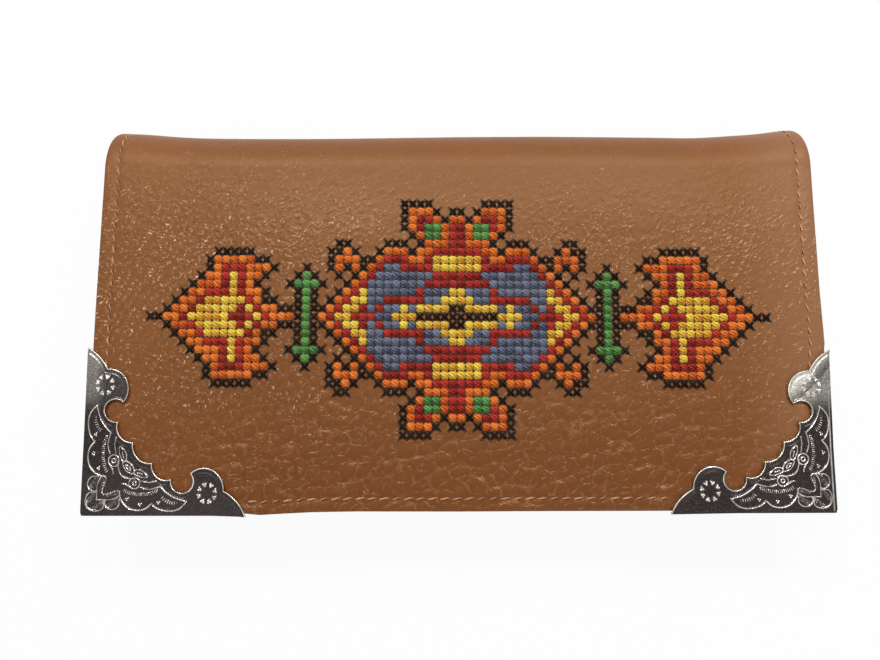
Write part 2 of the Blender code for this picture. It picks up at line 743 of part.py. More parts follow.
def stepped_outlines(cells):
    """Closed loops round a set of cells, anticlockwise outside, set in by FIELD_INSET."""
    edges = {}
    for i, j in cells:
        corners = [(i, j), (i + 1, j), (i + 1, j + 1), (i, j + 1)]
        neighbours = [(i, j - 1), (i + 1, j), (i, j + 1), (i - 1, j)]
        for number, beyond in enumerate(neighbours):
            if beyond not in cells:
                edges.setdefault(corners[number], []).append(corners[(number + 1) % 4])
    loops = []
    while edges:
        first = min(edges)
        loop = [first]
        here = edges[first].pop(0)
        came = (here[0] - first[0], here[1] - first[1])
        if not edges[first]:
            del edges[first]
        while here != first or (-came[1], came[0]) in [
            (b[0] - here[0], b[1] - here[1]) for b in edges.get(here, [])
        ]:
            loop.append(here)
            ways = edges[here]
            left = (here[0] - came[1], here[1] + came[0])
            onward = left if left in ways else ways[0]
            ways.remove(onward)
            if not ways:
                del edges[here]
            came = (onward[0] - here[0], onward[1] - here[1])
            here = onward
        loops.append(loop)
    return [set_in(loop) for loop in loops]


def set_in(loop):
    """Lattice corners to metres, dropping straight points and moving each edge inwards."""
    points = []
    count = len(loop)
    for number, here in enumerate(loop):
        before = loop[number - 1]
        after = loop[(number + 1) % count]
        came = (here[0] - before[0], here[1] - before[1])
        goes = (after[0] - here[0], after[1] - here[1])
        if came == goes:
            continue
        inward = (-came[1] - goes[1], came[0] + goes[0])
        x = here[0] * STITCH_WIDTH + inward[0] * FIELD_INSET
        y = Y_PATTERN + (here[1] - 0.5) * STITCH_HEIGHT + inward[1] * FIELD_INSET
        points.append((x, y))
    return points


def stitched_field(name, cells, level, colour, flap):
    bottom = THICKNESS + THREAD_GAP + level * (THREAD_LAYER + THREAD_GAP)
    item = flat_piece(name, stepped_outlines(cells), bottom, THREAD_LAYER, colour)
    hang_on(item, flap)


def embroidery(flap):
    """Fields of one thread colour each, laid over one another from black up to the centre."""
    sides = {"left": (-1,), "right": (1,)}
    ends = {"lower": (-1,), "upper": (1,)}
    stitched_field("stitch_ground_black", mirrored(ground_cells()), 0, BLACK, flap)
    stitched_field("stitch_medallion_orange", mirrored(medallion_orange()), 1, ORANGE, flap)
    stitched_field("stitch_medallion_red", mirrored(medallion_red()), 2, RED, flap)
    stitched_field("stitch_star_yellow", mirrored(star()), 3, YELLOW, flap)
    stitched_field("stitch_star_centre_black", mirrored(star_centre()), 4, BLACK, flap)
    for end, along in ends.items():
        cells = mirrored(bar(1, 3, 6, 7), (-1, 1), along)
        stitched_field("stitch_bar_yellow_" + end, cells, 3, YELLOW, flap)
    for side, across in sides.items():
        fields = [
            ("stitch_blue_", medallion_blue(), 3, BLUE),
            ("stitch_chevron_yellow_", chevron(), 3, YELLOW),
            ("stitch_arrow_green_", arrow(), 1, GREEN),
            ("stitch_palmette_orange_", palmette_orange(), 1, ORANGE),
            ("stitch_palmette_red_", palmette_red(), 2, RED),
            ("stitch_palmette_yellow_", palmette_yellow(), 3, YELLOW),
        ]
        for name, quarter, level, colour in fields:
            stitched_field(name + side, mirrored(quarter, across), level, colour, flap)
        for end, along in ends.items():
            place = end + "_" + side
            cells = mirrored(flower(), across, along)
            stitched_field("stitch_flower_orange_" + place, cells, 1, ORANGE, flap)
            cells = mirrored(bar(3, 4, 10, 11), across, along)
            stitched_field("stitch_leaf_green_" + place, cells, 2, GREEN, flap)


def bulged(start, end, bulge, steps):
    """Points after start, up to end, on the arc that stands out by bulge to the right."""
    chord = Vector(end) - Vector(start)
    half = chord.length / 2
    out = Vector((chord.y, -chord.x)).normalized() * (1 if bulge > 0 else -1)
    rise = abs(bulge)
    radius = (half * half + rise * rise) / (2 * rise)
    centre = (Vector(start) + Vector(end)) / 2 + out * (rise - radius)
    sweep = 2 * math.atan2(half, radius - rise)
    turn = -sweep if bulge < 0 else sweep
    arm = Vector(start) - centre
    points = []
    for step in range(1, steps + 1):
        angle = turn * step / steps
        spun = Matrix.Rotation(angle, 2) @ arm
        points.append((centre.x + spun.x, centre.y + spun.y))
    return points


def corner_arcs():
    """The arcs of the fancy edge, from the end on one side to the end on the other."""
    half = [
        ((CORNER_LENGTH, 0.0), CORNER_SHOULDER, TAIL_BULGE, 4),
        (CORNER_SHOULDER, CORNER_LOBE_TIP, LOBE_BULGE, 8),
        (CORNER_LOBE_TIP, CORNER_BAY_CUSP, BAY_BULGE, 9),
        (CORNER_BAY_CUSP, CORNER_MIDDLE_CUSP, BITE_BULGE, 5),
    ]
    middle = (CORNER_MIDDLE_CUSP, CORNER_MIDDLE_CUSP[::-1], BITE_BULGE, 5)
    other = [(end[::-1], start[::-1], bulge, steps) for start, end, bulge, steps in reversed(half)]
    return half + [middle] + other


def corner_loop():
    loop = [(CORNER_LENGTH, 0.0)]
    for start, end, bulge, steps in corner_arcs():
        loop += bulged(start, end, bulge, steps)
    return loop + rounded_outer_corner()


def rounded_outer_corner():
    points = []
    for step in range(5):
        angle = math.radians(180 + 90 * step / 4)
        x = CORNER_ROUNDING * (1 + math.cos(angle))
        points.append((x, CORNER_ROUNDING * (1 + math.sin(angle))))
    return points


def tube(name, points, height, radius):
    """A round bar through flat points at one height, closed at both ends."""
    curve = bpy.data.curves.new(name, "CURVE")
    curve.dimensions = "3D"
    curve.bevel_depth = radius
    curve.bevel_resolution = 1
    curve.use_fill_caps = True
    spline = curve.splines.new("POLY")
    spline.points.add(len(points) - 1)
    for point, (x, y) in zip(spline.points, points):
        point.co = (x, y, height, 1.0)
    item = bpy.data.objects.new(name, curve)
    CUTTERS.objects.link(item)
    made = solid_mesh(item, CUTTERS)
    CUTTERS.objects.unlink(made)
    return made


def dome(name, place, radii, turn=0.0, sides=8):
    """An egg-shaped boss, half sunk in the plate."""
    data = bpy.data.meshes.new(name)
    body = bmesh.new()
    bmesh.ops.create_uvsphere(body, u_segments=sides, v_segments=6, radius=1.0)
    bmesh.ops.scale(body, verts=body.verts, vec=radii)
    spin = Matrix.Rotation(turn, 4, "Z")
    bmesh.ops.transform(body, verts=body.verts, matrix=Matrix.Translation(place) @ spin)
    body.to_mesh(data)
    body.free()
    return bpy.data.objects.new(name, data)


def ring_boss(name, centre, height):
    points = []
    for step in range(13):
        angle = math.radians(30 * step)
        x = centre[0] + RING_RADIUS * math.cos(angle)
        points.append((x, centre[1] + RING_RADIUS * math.sin(angle)))
    return tube(name, points, height, LINE_RADIUS)


def leaf_lines():
    """Raised outlines of the long leaf beside each edge."""
    tip = (0.0268, 0.0036)
    crest = (0.0198, 0.0077)
    cusp = (0.0179, 0.0031)
    root = (0.0097, 0.0052)
    heel = (0.0150, 0.0071)
    return [
        (crest, tip, 0.0009),
        (cusp, tip, 0.0017),
        (root, cusp, 0.0024),
        (heel, crest, 0.0009),
    ]


def relief(face):
    """Rolled rim, rings of beads, bosses, petals and leaf outlines on a corner's face."""
    parts = []
    rim_height = face - CORNER_SHEET + RIM_RADIUS
    for start, end, bulge, steps in corner_arcs():
        points = [start] + bulged(start, end, bulge, steps)
        parts.append(tube("rim", points, rim_height, RIM_RADIUS))
    low = face - LINE_RADIUS / 2
    for flip in (1, -1):
        centre = BEAD_RING_CENTRE[::flip]
        for number in range(BEAD_COUNT):
            angle = 2 * math.pi * number / BEAD_COUNT
            x = centre[0] + BEAD_RING_RADIUS * math.cos(angle)
            y = centre[1] + BEAD_RING_RADIUS * math.sin(angle)
            parts.append(dome("bead", (x, y, face), (BEAD_RADIUS,) * 3, 0.0, 6))
        parts.append(ring_boss("ring", RING_CENTRE[::flip], low))
        for start, end, bulge in leaf_lines():
            points = [start] + bulged(start, end, bulge, 6)
            points = [point[::flip] for point in points]
            parts.append(tube("leaf", points, low, LINE_RADIUS))
        petal = (RING_CENTRE[0] + 0.0016, RING_CENTRE[1] + 0.0024)[::flip]
        turn = math.radians(-15) if flip > 0 else math.radians(105)
        radii = (PETAL_LENGTH, PETAL_WIDTH, RELIEF_HEIGHT)
        parts.append(dome("petal", (petal[0], petal[1], face), radii, turn))
    radii = (PETAL_LENGTH, PETAL_WIDTH, RELIEF_HEIGHT)
    parts.append(dome("petal", (0.0119, 0.0119, face), radii, math.radians(45)))
    radii = (BOSS_RADIUS, BOSS_RADIUS, RELIEF_HEIGHT)
    parts.append(dome("boss", (BOSS_CENTRE[0], BOSS_CENTRE[1], face), radii, 0.0, 12))
    return parts


def metal_corner(name, side, flap):
    """A stamped cap over a flap corner: fancy face, two side walls and a plain return."""
    face = THICKNESS + GAP + CORNER_SHEET
    under = Z_FLAP_LINING - GAP - CORNER_SHEET
    outer = Vector((-FLAP_WIDTH / 2 - GAP - CORNER_SHEET, Y_FLAP_EDGE - GAP - CORNER_SHEET, 0.0))
    plate = flat_piece(name, [corner_loop()], face - CORNER_SHEET, CORNER_SHEET, SILVER)
    plate = solid_mesh(plate)
    wall = [(CORNER_LENGTH, 0.0), (CORNER_LENGTH, CORNER_SHEET), (CORNER_SHEET, CORNER_SHEET)]
    wall += [(CORNER_SHEET, CORNER_LENGTH), (0.0, CORNER_LENGTH)]
    walls = flat_piece("walls", [wall + rounded_outer_corner()], under, face - under, SILVER, CUTTERS)
    back = [(CORNER_RETURN_LENGTH, 0.0)]
    far = (0.0, CORNER_RETURN_LENGTH)
    back += bulged(back[0], far, -CORNER_RETURN_SAG, 8) + rounded_outer_corner()
    back = flat_piece("return", [back], under, CORNER_SHEET, SILVER, CUTTERS)
    parts = [solid_mesh(walls, CUTTERS), solid_mesh(back, CUTTERS)]
    for part in parts:
        CUTTERS.objects.unlink(part)
        bpy.context.view_layer.update()
        part.data.transform(part.matrix_world)
        part.matrix_world = Matrix.Identity(4)
    parts += relief(face)
    plate.data.transform(plate.matrix_world)
    plate.matrix_world = Matrix.Identity(4)
    flip = Matrix.Diagonal((side * -1.0, 1.0, 1.0, 1.0))
    place = Matrix.Translation((side * abs(outer.x), outer.y, 0.0))
    for part in [plate, *parts]:
        part.data.transform(place @ flip)
        if side > 0:
            part.data.flip_normals()
    plate.data.materials.append(SILVER)
    join(plate, name + "_relief", parts)
    hang_on(plate, flap)


def build():
    lower = joint_empty("spine_axis", (0.0, Y_CREASE, Z_LOWER_CREASE))
    upper = joint_empty("flap_axis", (0.0, Y_CREASE, Z_UPPER_CREASE), lower)
    body_shells()
    y_coin_bottom = coin_pocket()
    gusset("gusset_left", -1, y_coin_bottom)
    gusset("gusset_right", 1, y_coin_bottom)
    card_strips()
    zip_closure()
    spine(lower)
    flap_sheets(upper)
    snap(upper)
    embroidery(upper)
    metal_corner("corner_left", -1, upper)
    metal_corner("corner_right", 1, upper)


build()
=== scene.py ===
# %% [markdown]
# # A long leather wallet with a cross-stitched flap
#
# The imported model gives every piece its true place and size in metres. This lesson dresses it:
# pebbled leather that rolls round the spine, real crossed threads, stamped metal corners,
# linings, pockets and a zip. The wallet lies on its back. X runs along its width, Y points at
# the rolled fold and Z points up through the flap.

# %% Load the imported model
import json
import math
import random

import bpy
import numpy as np
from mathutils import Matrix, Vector

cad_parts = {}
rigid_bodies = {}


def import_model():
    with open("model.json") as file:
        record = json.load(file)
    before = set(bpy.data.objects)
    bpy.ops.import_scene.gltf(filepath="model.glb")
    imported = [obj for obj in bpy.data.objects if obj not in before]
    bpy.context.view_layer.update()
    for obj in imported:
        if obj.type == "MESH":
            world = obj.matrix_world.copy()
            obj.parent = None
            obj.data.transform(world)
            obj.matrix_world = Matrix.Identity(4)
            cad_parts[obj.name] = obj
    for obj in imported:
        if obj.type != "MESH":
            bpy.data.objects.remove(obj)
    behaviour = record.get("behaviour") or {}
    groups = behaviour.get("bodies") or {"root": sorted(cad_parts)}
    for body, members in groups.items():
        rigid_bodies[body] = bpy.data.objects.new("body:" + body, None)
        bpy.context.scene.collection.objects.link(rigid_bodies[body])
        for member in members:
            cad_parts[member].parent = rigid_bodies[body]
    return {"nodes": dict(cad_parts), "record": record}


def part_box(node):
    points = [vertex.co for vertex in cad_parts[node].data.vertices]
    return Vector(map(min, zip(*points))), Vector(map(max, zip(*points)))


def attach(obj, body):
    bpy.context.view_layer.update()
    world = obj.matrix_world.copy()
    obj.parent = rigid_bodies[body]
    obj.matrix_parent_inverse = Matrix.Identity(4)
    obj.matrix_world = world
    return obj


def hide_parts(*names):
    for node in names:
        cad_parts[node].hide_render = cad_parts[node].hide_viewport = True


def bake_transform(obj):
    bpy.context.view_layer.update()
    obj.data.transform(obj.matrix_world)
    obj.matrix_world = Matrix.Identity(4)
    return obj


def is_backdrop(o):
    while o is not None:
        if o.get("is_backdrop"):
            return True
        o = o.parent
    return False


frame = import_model()
scene = bpy.context.scene
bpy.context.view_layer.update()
print("nodes loaded:", len(frame["nodes"]))

# %% [markdown]
# ## Sizes that everything follows
#
# The leather cover is one long sheet. It starts at the flap's free edge, runs over the flap,
# rolls round the spine, goes down the back, turns round the bottom and climbs the front.
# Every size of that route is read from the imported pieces, so nothing has to be fitted by eye.

# %% Read the sizes
MM = 0.001
UV_SPAN = 100 * MM
flap_low, flap_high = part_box("flap_leather")
body_low, body_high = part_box("body_leather")
lining_low, lining_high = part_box("flap_lining")
CLEARANCE = 0.3 * MM
MOUTH_DROP = 6 * MM
LEATHER = flap_high.z - flap_low.z
LINING = lining_high.z - lining_low.z
LINING_DEPTH = flap_high.z - lining_high.z
HALF_WIDTH = flap_high.x
BODY_HALF_WIDTH = body_high.x
FLAP_EDGE = flap_low.y
FOLD_Y = flap_high.y + CLEARANCE
FOLD_RADIUS = flap_high.z / 2
TURN_RADIUS = body_high.z / 2
TURN_Y = body_low.y + TURN_RADIUS
MOUTH_Y = FOLD_Y - MOUTH_DROP
FLAP_RUN = FOLD_Y - FLAP_EDGE
FOLD_RUN = math.pi * FOLD_RADIUS
BACK_RUN = FOLD_Y - TURN_Y
TURN_RUN = math.pi * TURN_RADIUS
FRONT_RUN = MOUTH_Y - TURN_Y
SPINE_MIDDLE = FLAP_RUN + FOLD_RUN / 2
FLAT_LENGTH = FLAP_RUN + FOLD_RUN + BACK_RUN + TURN_RUN + FRONT_RUN
ground_low, ground_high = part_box("stitch_ground_black")
PATTERN_Y = (ground_low.y + ground_high.y) / 2
STITCH_WIDTH = 2.117 * MM
STITCH_HEIGHT = 2.166 * MM
print("cover, flat length in mm:", round(FLAT_LENGTH / MM, 1))

# %% [markdown]
# ## The camera
#
# The photo was taken from close by, almost from straight above and a little towards the flap's
# free edge, so the sides spread towards the bottom. The camera stands where the stitch grid,
# which has a known pitch, says that it stood.

# %% Camera
def placed(name, data, location=(0.0, 0.0, 0.0), rotation=(0.0, 0.0, 0.0)):
    """A new object of the given data, linked to the scene."""
    item = bpy.data.objects.new(name, data)
    item.location = location
    item.rotation_euler = rotation
    scene.collection.objects.link(item)
    return item


SENSOR_WIDTH = 36.0
FOCAL_SHARE = 850 / 880
CAMERA_PLACE = (-4.05 * MM, -39.4 * MM, 241.0 * MM)
CAMERA_TURN = (0.157, 0.001, 0.003)
camera_data = bpy.data.cameras.new("camera")
camera_data.sensor_width = SENSOR_WIDTH
camera_data.lens = FOCAL_SHARE * SENSOR_WIDTH
camera_data.clip_start = 0.01
scene.camera = placed("camera", camera_data, CAMERA_PLACE, CAMERA_TURN)
scene.view_settings.view_transform = "Standard"


# %% [markdown]
# ## Shader sums written as Python
#
# A finish is a small sum of noises and masks. Wrapping a socket in a class lets the sum be
# written as one, and each operator adds its own Math node. Colours go through Mix nodes,
# because a Math node would turn them grey.

# %% A socket that can be added and multiplied
class Signal:
    def __init__(self, finish, socket):
        self.finish, self.socket = finish, socket

    def math(self, operation, *others):
        return self.finish.add("ShaderNodeMath", {"operation": operation}, [self, *others])

    def __add__(self, other):
        return self.math("ADD", other)

    def __sub__(self, other):
        return self.math("SUBTRACT", other)

    def __rsub__(self, other):
        return self.finish.add("ShaderNodeMath", {"operation": "SUBTRACT"}, [other, self])

    def __mul__(self, other):
        return self.math("MULTIPLY", other)

    def __pow__(self, other):
        return self.math("POWER", other)

    __radd__ = __add__
    __rmul__ = __mul__

    def limited(self):
        return self.math("MINIMUM", 1.0).math("MAXIMUM", 0.0)

    def step(self, low, high):
        """Rises smoothly from 0 at low to 1 at high."""
        settings = {"interpolation_type": "SMOOTHSTEP"}
        return self.finish.add("ShaderNodeMapRange", settings, [self, low, high, 0.0, 1.0])


class Finish:
    def __init__(self, name):
        self.material = bpy.data.materials.new(name)
        self.material.use_nodes = True
        self.nodes = self.material.node_tree.nodes
        self.links = self.material.node_tree.links
        self.shader = self.nodes["Principled BSDF"]

    def feed(self, socket, value):
        if isinstance(value, Signal):
            self.links.new(value.socket, socket)
        elif isinstance(value, (tuple, list)) and len(value) == 3 and socket.type == "RGBA":
            socket.default_value = (*value, 1.0)
        else:
            socket.default_value = value

    def add(self, kind, settings=None, values=(), output=0):
        """One node: its settings first, then the values or links of its sockets."""
        node = self.nodes.new(kind)
        for key, value in (settings or {}).items():
            setattr(node, key, value)
        named = values.items() if isinstance(values, dict) else enumerate(values)
        for key, value in named:
            self.feed(node.inputs[key], value)
        return Signal(self, node.outputs[output])

    def mix(self, factor, first, second):
        settings = {"data_type": "RGBA"}
        return self.add("ShaderNodeMix", settings, {0: factor, 6: first, 7: second}, 2)

    def stretch(self, vector, x, y, z):
        settings = {"operation": "MULTIPLY"}
        return self.add("ShaderNodeVectorMath", settings, [vector, (x, y, z)])

    def shift(self, vector, offset):
        return self.add("ShaderNodeVectorMath", {"operation": "ADD"}, [vector, offset])

    def place(self):
        return self.add("ShaderNodeTexCoord", output=3)

    def sheet_place(self):
        return self.add("ShaderNodeTexCoord", output=2)

    def split(self, vector, axis):
        return self.add("ShaderNodeSeparateXYZ", values=[vector], output=axis)

    def noise(self, vector, scale, detail=3.0, roughness=0.55, output=0):
        values = {"Vector": vector, "Scale": scale, "Detail": detail, "Roughness": roughness}
        return self.add("ShaderNodeTexNoise", {"noise_dimensions": "3D"}, values, output)

    def cells(self, vector, scale, feature="DISTANCE_TO_EDGE", output=0):
        values = {"Vector": vector, "Scale": scale}
        return self.add("ShaderNodeTexVoronoi", {"feature": feature}, values, output)

    def turned(self, vector, degrees):
        values = {"Vector": vector, "Rotation": (0.0, 0.0, math.radians(degrees))}
        return self.add("ShaderNodeMapping", None, values)

    def carried(self, name):
        return self.add("ShaderNodeAttribute", {"attribute_name": name}, output=2)

    def bump(self, height, distance):
        return self.add("ShaderNodeBump", None, {"Distance": distance, "Height": height})

    def finish(self, **sockets):
        for name, value in sockets.items():
            self.feed(self.shader.inputs[name.replace("_", " ").title()], value)
        return self.material


def toned(colour, factor, lift=0.0):
    """A darker or lighter version of a colour."""
    return tuple(min(1.0, channel * factor + lift) for channel in colour)


# %% [markdown]
# ## A pale studio
#
# The floor is nearly white and takes a soft shadow. The floor and the world are plain white to
# the eye of the camera and to gloss, while they light the wallet at a plain level. Two small
# windows beyond the fold give the leather its highlights, and a wide lamp fills in from the
# near side.

# %% Floor, backdrop and lamps
WHITE = (1.0, 1.0, 1.0)


def white_to_the_eye(tree, plain, camera_share):
    """Blend a shader with plain white for camera, gloss and transmission rays."""
    def linked(kind, *sources, operation=None):
        node = tree.nodes.new(kind)
        if operation:
            node.operation = operation
        for source, socket in zip(sources, node.inputs):
            tree.links.new(source, socket)
        return node

    rays = tree.nodes.new("ShaderNodeLightPath").outputs
    seen = rays["Is Camera Ray"]
    for name in ("Is Glossy Ray", "Is Transmission Ray"):
        seen = linked("ShaderNodeMath", seen, rays[name], operation="MAXIMUM").outputs[0]
    share = linked("ShaderNodeMath", seen, operation="MULTIPLY")
    share.inputs[1].default_value = camera_share
    white = linked("ShaderNodeEmission")
    white.inputs["Color"].default_value = (*WHITE, 1.0)
    return linked("ShaderNodeMixShader", share.outputs[0], plain.outputs[0], white.outputs[0])


bpy.ops.object.select_all(action="DESELECT")
bpy.ops.mesh.primitive_plane_add(size=6.0, location=(0.0, 0.0, -0.2 * MM))
floor = bpy.context.object
floor.name = "floor"
floor_paper = Finish("floor_paper")
tooth = floor_paper.noise(floor_paper.place(), 900.0)
floor_normal = floor_paper.bump(tooth, 0.02 * MM)
floor_paper.finish(base_color=(0.86, 0.86, 0.86), roughness=0.9, normal=floor_normal)
floor_tree = floor_paper.material.node_tree
floor_seen = white_to_the_eye(floor_tree, floor_paper.shader, 0.94)
floor_tree.links.new(floor_seen.outputs[0], floor_tree.nodes["Material Output"].inputs["Surface"])
floor.data.materials.append(floor_paper.material)
floor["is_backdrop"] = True

world = bpy.data.worlds.new("studio")
scene.world = world
world.use_nodes = True
room = world.node_tree.nodes["Background"]
room.inputs["Color"].default_value = (0.97, 0.98, 1.0, 1.0)
room.inputs["Strength"].default_value = 0.32
sky = white_to_the_eye(world.node_tree, room, 1.0)
world.node_tree.links.new(sky.outputs[0], world.node_tree.nodes["World Output"].inputs["Surface"])


def lamp(name, place, size, power, colour=WHITE):
    """A flat lamp aimed at the middle of the wallet."""
    data = bpy.data.lights.new(name, "AREA")
    data.shape = "RECTANGLE"
    data.size, data.size_y = size
    data.energy = power
    data.color = colour
    placed(name, data, place, (-Vector(place)).to_track_quat("-Z", "Y").to_euler())


WINDOW = {"size": (0.13, 0.13), "power": 3.5, "colour": (1.0, 0.98, 0.95)}
lamp("window_left", (-0.22, 0.50, 0.76), **WINDOW)
lamp("window_right", (0.25, 0.48, 0.78), **WINDOW)
lamp("near_fill", (0.4, -0.8, 0.9), (1.0, 0.6), 2.4)


# %% [markdown]
# ## The leather's finish
#
# Tumbled leather has a net of fine creases round soft pebbles. On the flap the pebbles are
# pulled smooth near the fold and deepen towards the free edge. The sheet's own flat
# coordinates carry the pattern, so it stays with the leather wherever the sheet is rolled.
# Small pale glints on the pebble tops are painted highlights, and they gather on the left.
# The deeper creases are real relief in the mesh, which also says where shade is painted into
# the colour.

# %% Leather
def pimples(made, place, scale):
    """Separate soft bumps of random height on a smooth ground."""
    reach = made.cells(place, scale, "F1")
    chance = made.split(made.cells(place, scale, "F1", 1), 0)
    return (1.0 - (reach * 1.9) ** 2.0).math("MAXIMUM", 0.0) * (chance * 0.8 + 0.2)


def glint_spots(made, place, scale):
    """Small round tops painted light, as highlights on the pebbles."""
    reach = made.cells(place, scale, "F1")
    chance = made.split(made.cells(place, scale, "F1", 1), 1)
    return (1.0 - (reach * 3.3) ** 2.0).math("MAXIMUM", 0.0) * chance.step(0.15, 0.90)


def grain_rows(made, place, spacing):
    """Soft slanting rows, 0 to 1, in which the bumps stand."""
    return (made.split(place, 1) * (math.tau / spacing)).math("SINE") * 0.5 + 0.5


def needle_hole_shade(made, u, along):
    """Painted shade of the needle holes: dark round dots at the corners of the worked squares."""
    across = ((u * (UV_SPAN / STITCH_WIDTH) + 0.5).math("FRACT") - 0.5) * (STITCH_WIDTH / MM)
    rows = along * (UV_SPAN / STITCH_HEIGHT) - (PATTERN_Y - FLAP_EDGE) / STITCH_HEIGHT
    down = (rows.math("FRACT") - 0.5) * (STITCH_HEIGHT / MM)
    reach = (across * across + down * down).math("SQRT")
    return (1.0 - reach.step(0.34, 0.48)) * made.carried("worked").step(0.3, 0.6)


# Painted highlights: the tone of the pale glints on the pebble tops.
GLINT_TONE = (0.68, 0.45, 0.29)
SIDE_TONE = (0.36, 0.13, 0.04)
# Tone of the painted sheen along the right edge of the flap.
SHEEN_TONE = (0.33, 0.17, 0.092)
# Painted shade under the coloured stitches.
STITCH_SHADE_TONE = (0.018, 0.008, 0.006)
# Painted shade in the needle holes.
HOLE_SHADE_TONE = (0.014, 0.009, 0.008)


def leather_finish(name, light, dark, pebble_scale=80.0, flap=False):
    made = Finish(name)
    flat = made.sheet_place()
    u, along = made.split(flat, 0), made.split(flat, 1)
    wander = made.noise(flat, 14.0, 2.0, 0.5, 1)
    shiver = made.noise(flat, 110.0, 2.0, 0.5, 1)
    bent = made.shift(flat, made.stretch(wander, 0.04, 0.04, 0.0))
    bent = made.shift(bent, made.stretch(shiver, 0.008, 0.008, 0.0))
    turned = made.turned(bent, -57.0)
    slanted = made.stretch(turned, 0.78, 1.15, 1.0)
    rows = grain_rows(made, turned, 0.021)
    level = made.stretch(made.turned(bent, -18.0), 0.55, 1.0, 1.0)
    pores = made.noise(flat, 280.0, 3.0, 0.6)
    clouds = made.noise(flat, 4.5, 3.0)
    if flap:
        near_fold = along.step(0.64, 0.96)
        low = 1.0 - along.step(0.14, 0.42)
        side = (u * -1.0).step(0.10, 0.75)
        pull = (1.0 - near_fold * 0.80) * (1.0 - low * 0.80) * (side * 0.55 + 0.65)
        light_and_tone = along.step(0.06, 0.56)
        rough = 0.265 + near_fold * 0.22 + low * 0.03
    else:
        side = clouds * 0.3
        low = clouds.step(0.35, 0.65) * 0.4 + 0.3
        pull = clouds.step(0.2, 0.8) * 0.3 + 0.4
        light_and_tone = clouds * 1.0
        rough = 0.30 + clouds * 0.06
    patchy = clouds.step(0.28, 0.55) * 0.5 + 0.5
    broken = made.noise(flat, 60.0, 3.0).step(0.38, 0.66)
    edge = made.cells(level, pebble_scale * 0.49)
    dome = 1.0 - made.cells(level, pebble_scale * 0.49, "F1") ** 2.0 * 1.6
    # The crease lines of the large cells, used in the relief and as a painted highlight.
    crease_line = (1.0 - edge.step(0.0, 0.10)) * broken
    bumps = pimples(made, slanted, pebble_scale) + pimples(made, slanted, pebble_scale * 1.7) * 0.38
    bumps = bumps * (rows * 0.6 + 0.4)
    clusters = made.noise(slanted, 17.0, 2.0).step(0.36, 0.62) * 1.05 + 0.28
    relief = bumps * (clusters * 0.6 + 0.55) * pull * patchy
    relief = relief + (dome * 1.15 + crease_line * 0.50) * (low * 0.8 + 0.1) + pores * 0.05
    # Painted highlights: pale glints on the pebble tops, in clusters and most on the left.
    glints = glint_spots(made, slanted, pebble_scale * 1.2)
    glints = glints + glint_spots(made, bent, pebble_scale * 1.6) * 0.8
    glints = glints * clusters * (rows * 0.75 + 0.25) * pull * patchy * (1.0 if flap else 0.45)
    shadow = (1.0 - edge.step(0.02, 0.30)) * clouds.step(0.30, 0.60)
    # The darker tone that paints shade into the creases and between the rows of pebbles.
    deep = toned(dark, 0.55)
    layers = [
        # Painted shade in the mesh's creases.
        (made.carried("crease") * 0.12, deep),
        # Painted shade along the cell edges, most near the free edge and on the left.
        (shadow * (low * 0.24 + side * 0.14 + 0.06), deep),
        # A painted highlight: pale lines on the crease edges, most near the free edge.
        (crease_line * (low * 0.46 + 0.06), toned(light, 1.5, 0.012)),
        # Painted highlights on the pebble tops, stronger on the left.
        ((glints * (side * 0.45 + 1.0)).limited(), GLINT_TONE),
    ]
    if flap:
        layers += [
            # Painted shade between the rows of pebbles on the left.
            ((1.0 - rows) * side * pull * patchy * 0.22, deep),
            ((u * u).step(0.25, 0.70) * 0.11, SIDE_TONE),
            # A painted sheen: the right edge of the flap is paler, where the curved leather catches
            # the light.
            (u.step(0.70, 0.93) * 0.42, SHEEN_TONE),
            # Painted shade: the leather under the coloured stitches is painted nearly black.
            (made.carried("covered").step(0.3, 0.6) * 0.95, STITCH_SHADE_TONE),
            # Painted shade: dark dots at the needle holes.
            (needle_hole_shade(made, u, along), HOLE_SHADE_TONE),
        ]
    # On the flap the leather is lighter towards the fold, partly its own tone and partly painted
    # light; on the body the tone wanders at random.
    colour = made.mix((light_and_tone * 0.85 + clouds * 0.25 - 0.05).limited(), dark, light)
    for share, tint in layers:
        colour = made.mix(share, colour, tint)
    made.shader.inputs["Specular IOR Level"].default_value = 0.44
    return made.finish(
        base_color=colour,
        roughness=rough,
        specular_tint=(1.0, 0.74, 0.48),
        normal=made.bump(relief, 0.2 * MM),
    )


FLAP_LEATHER = leather_finish(
    "tan_flap_leather", (0.206, 0.073, 0.021), (0.154, 0.043, 0.007), flap=True
)
BODY_LEATHER = leather_finish("tan_leather", (0.205, 0.077, 0.024), (0.155, 0.047, 0.009))
STRIP_LEATHER = leather_finish(
    "card_strip_leather", (0.25, 0.095, 0.032), (0.19, 0.064, 0.014), 120.0
)


# %% [markdown]
# ## Cloth and plain metal
#
# The linings and zip tapes are woven: two sets of fine waves cross, and a loose noise makes
# them fuzzy. The plain metals carry a haze and fine scratches in one direction.

# %% Lining cloth, zip tape and metals
SCRATCH = 0.01 * MM


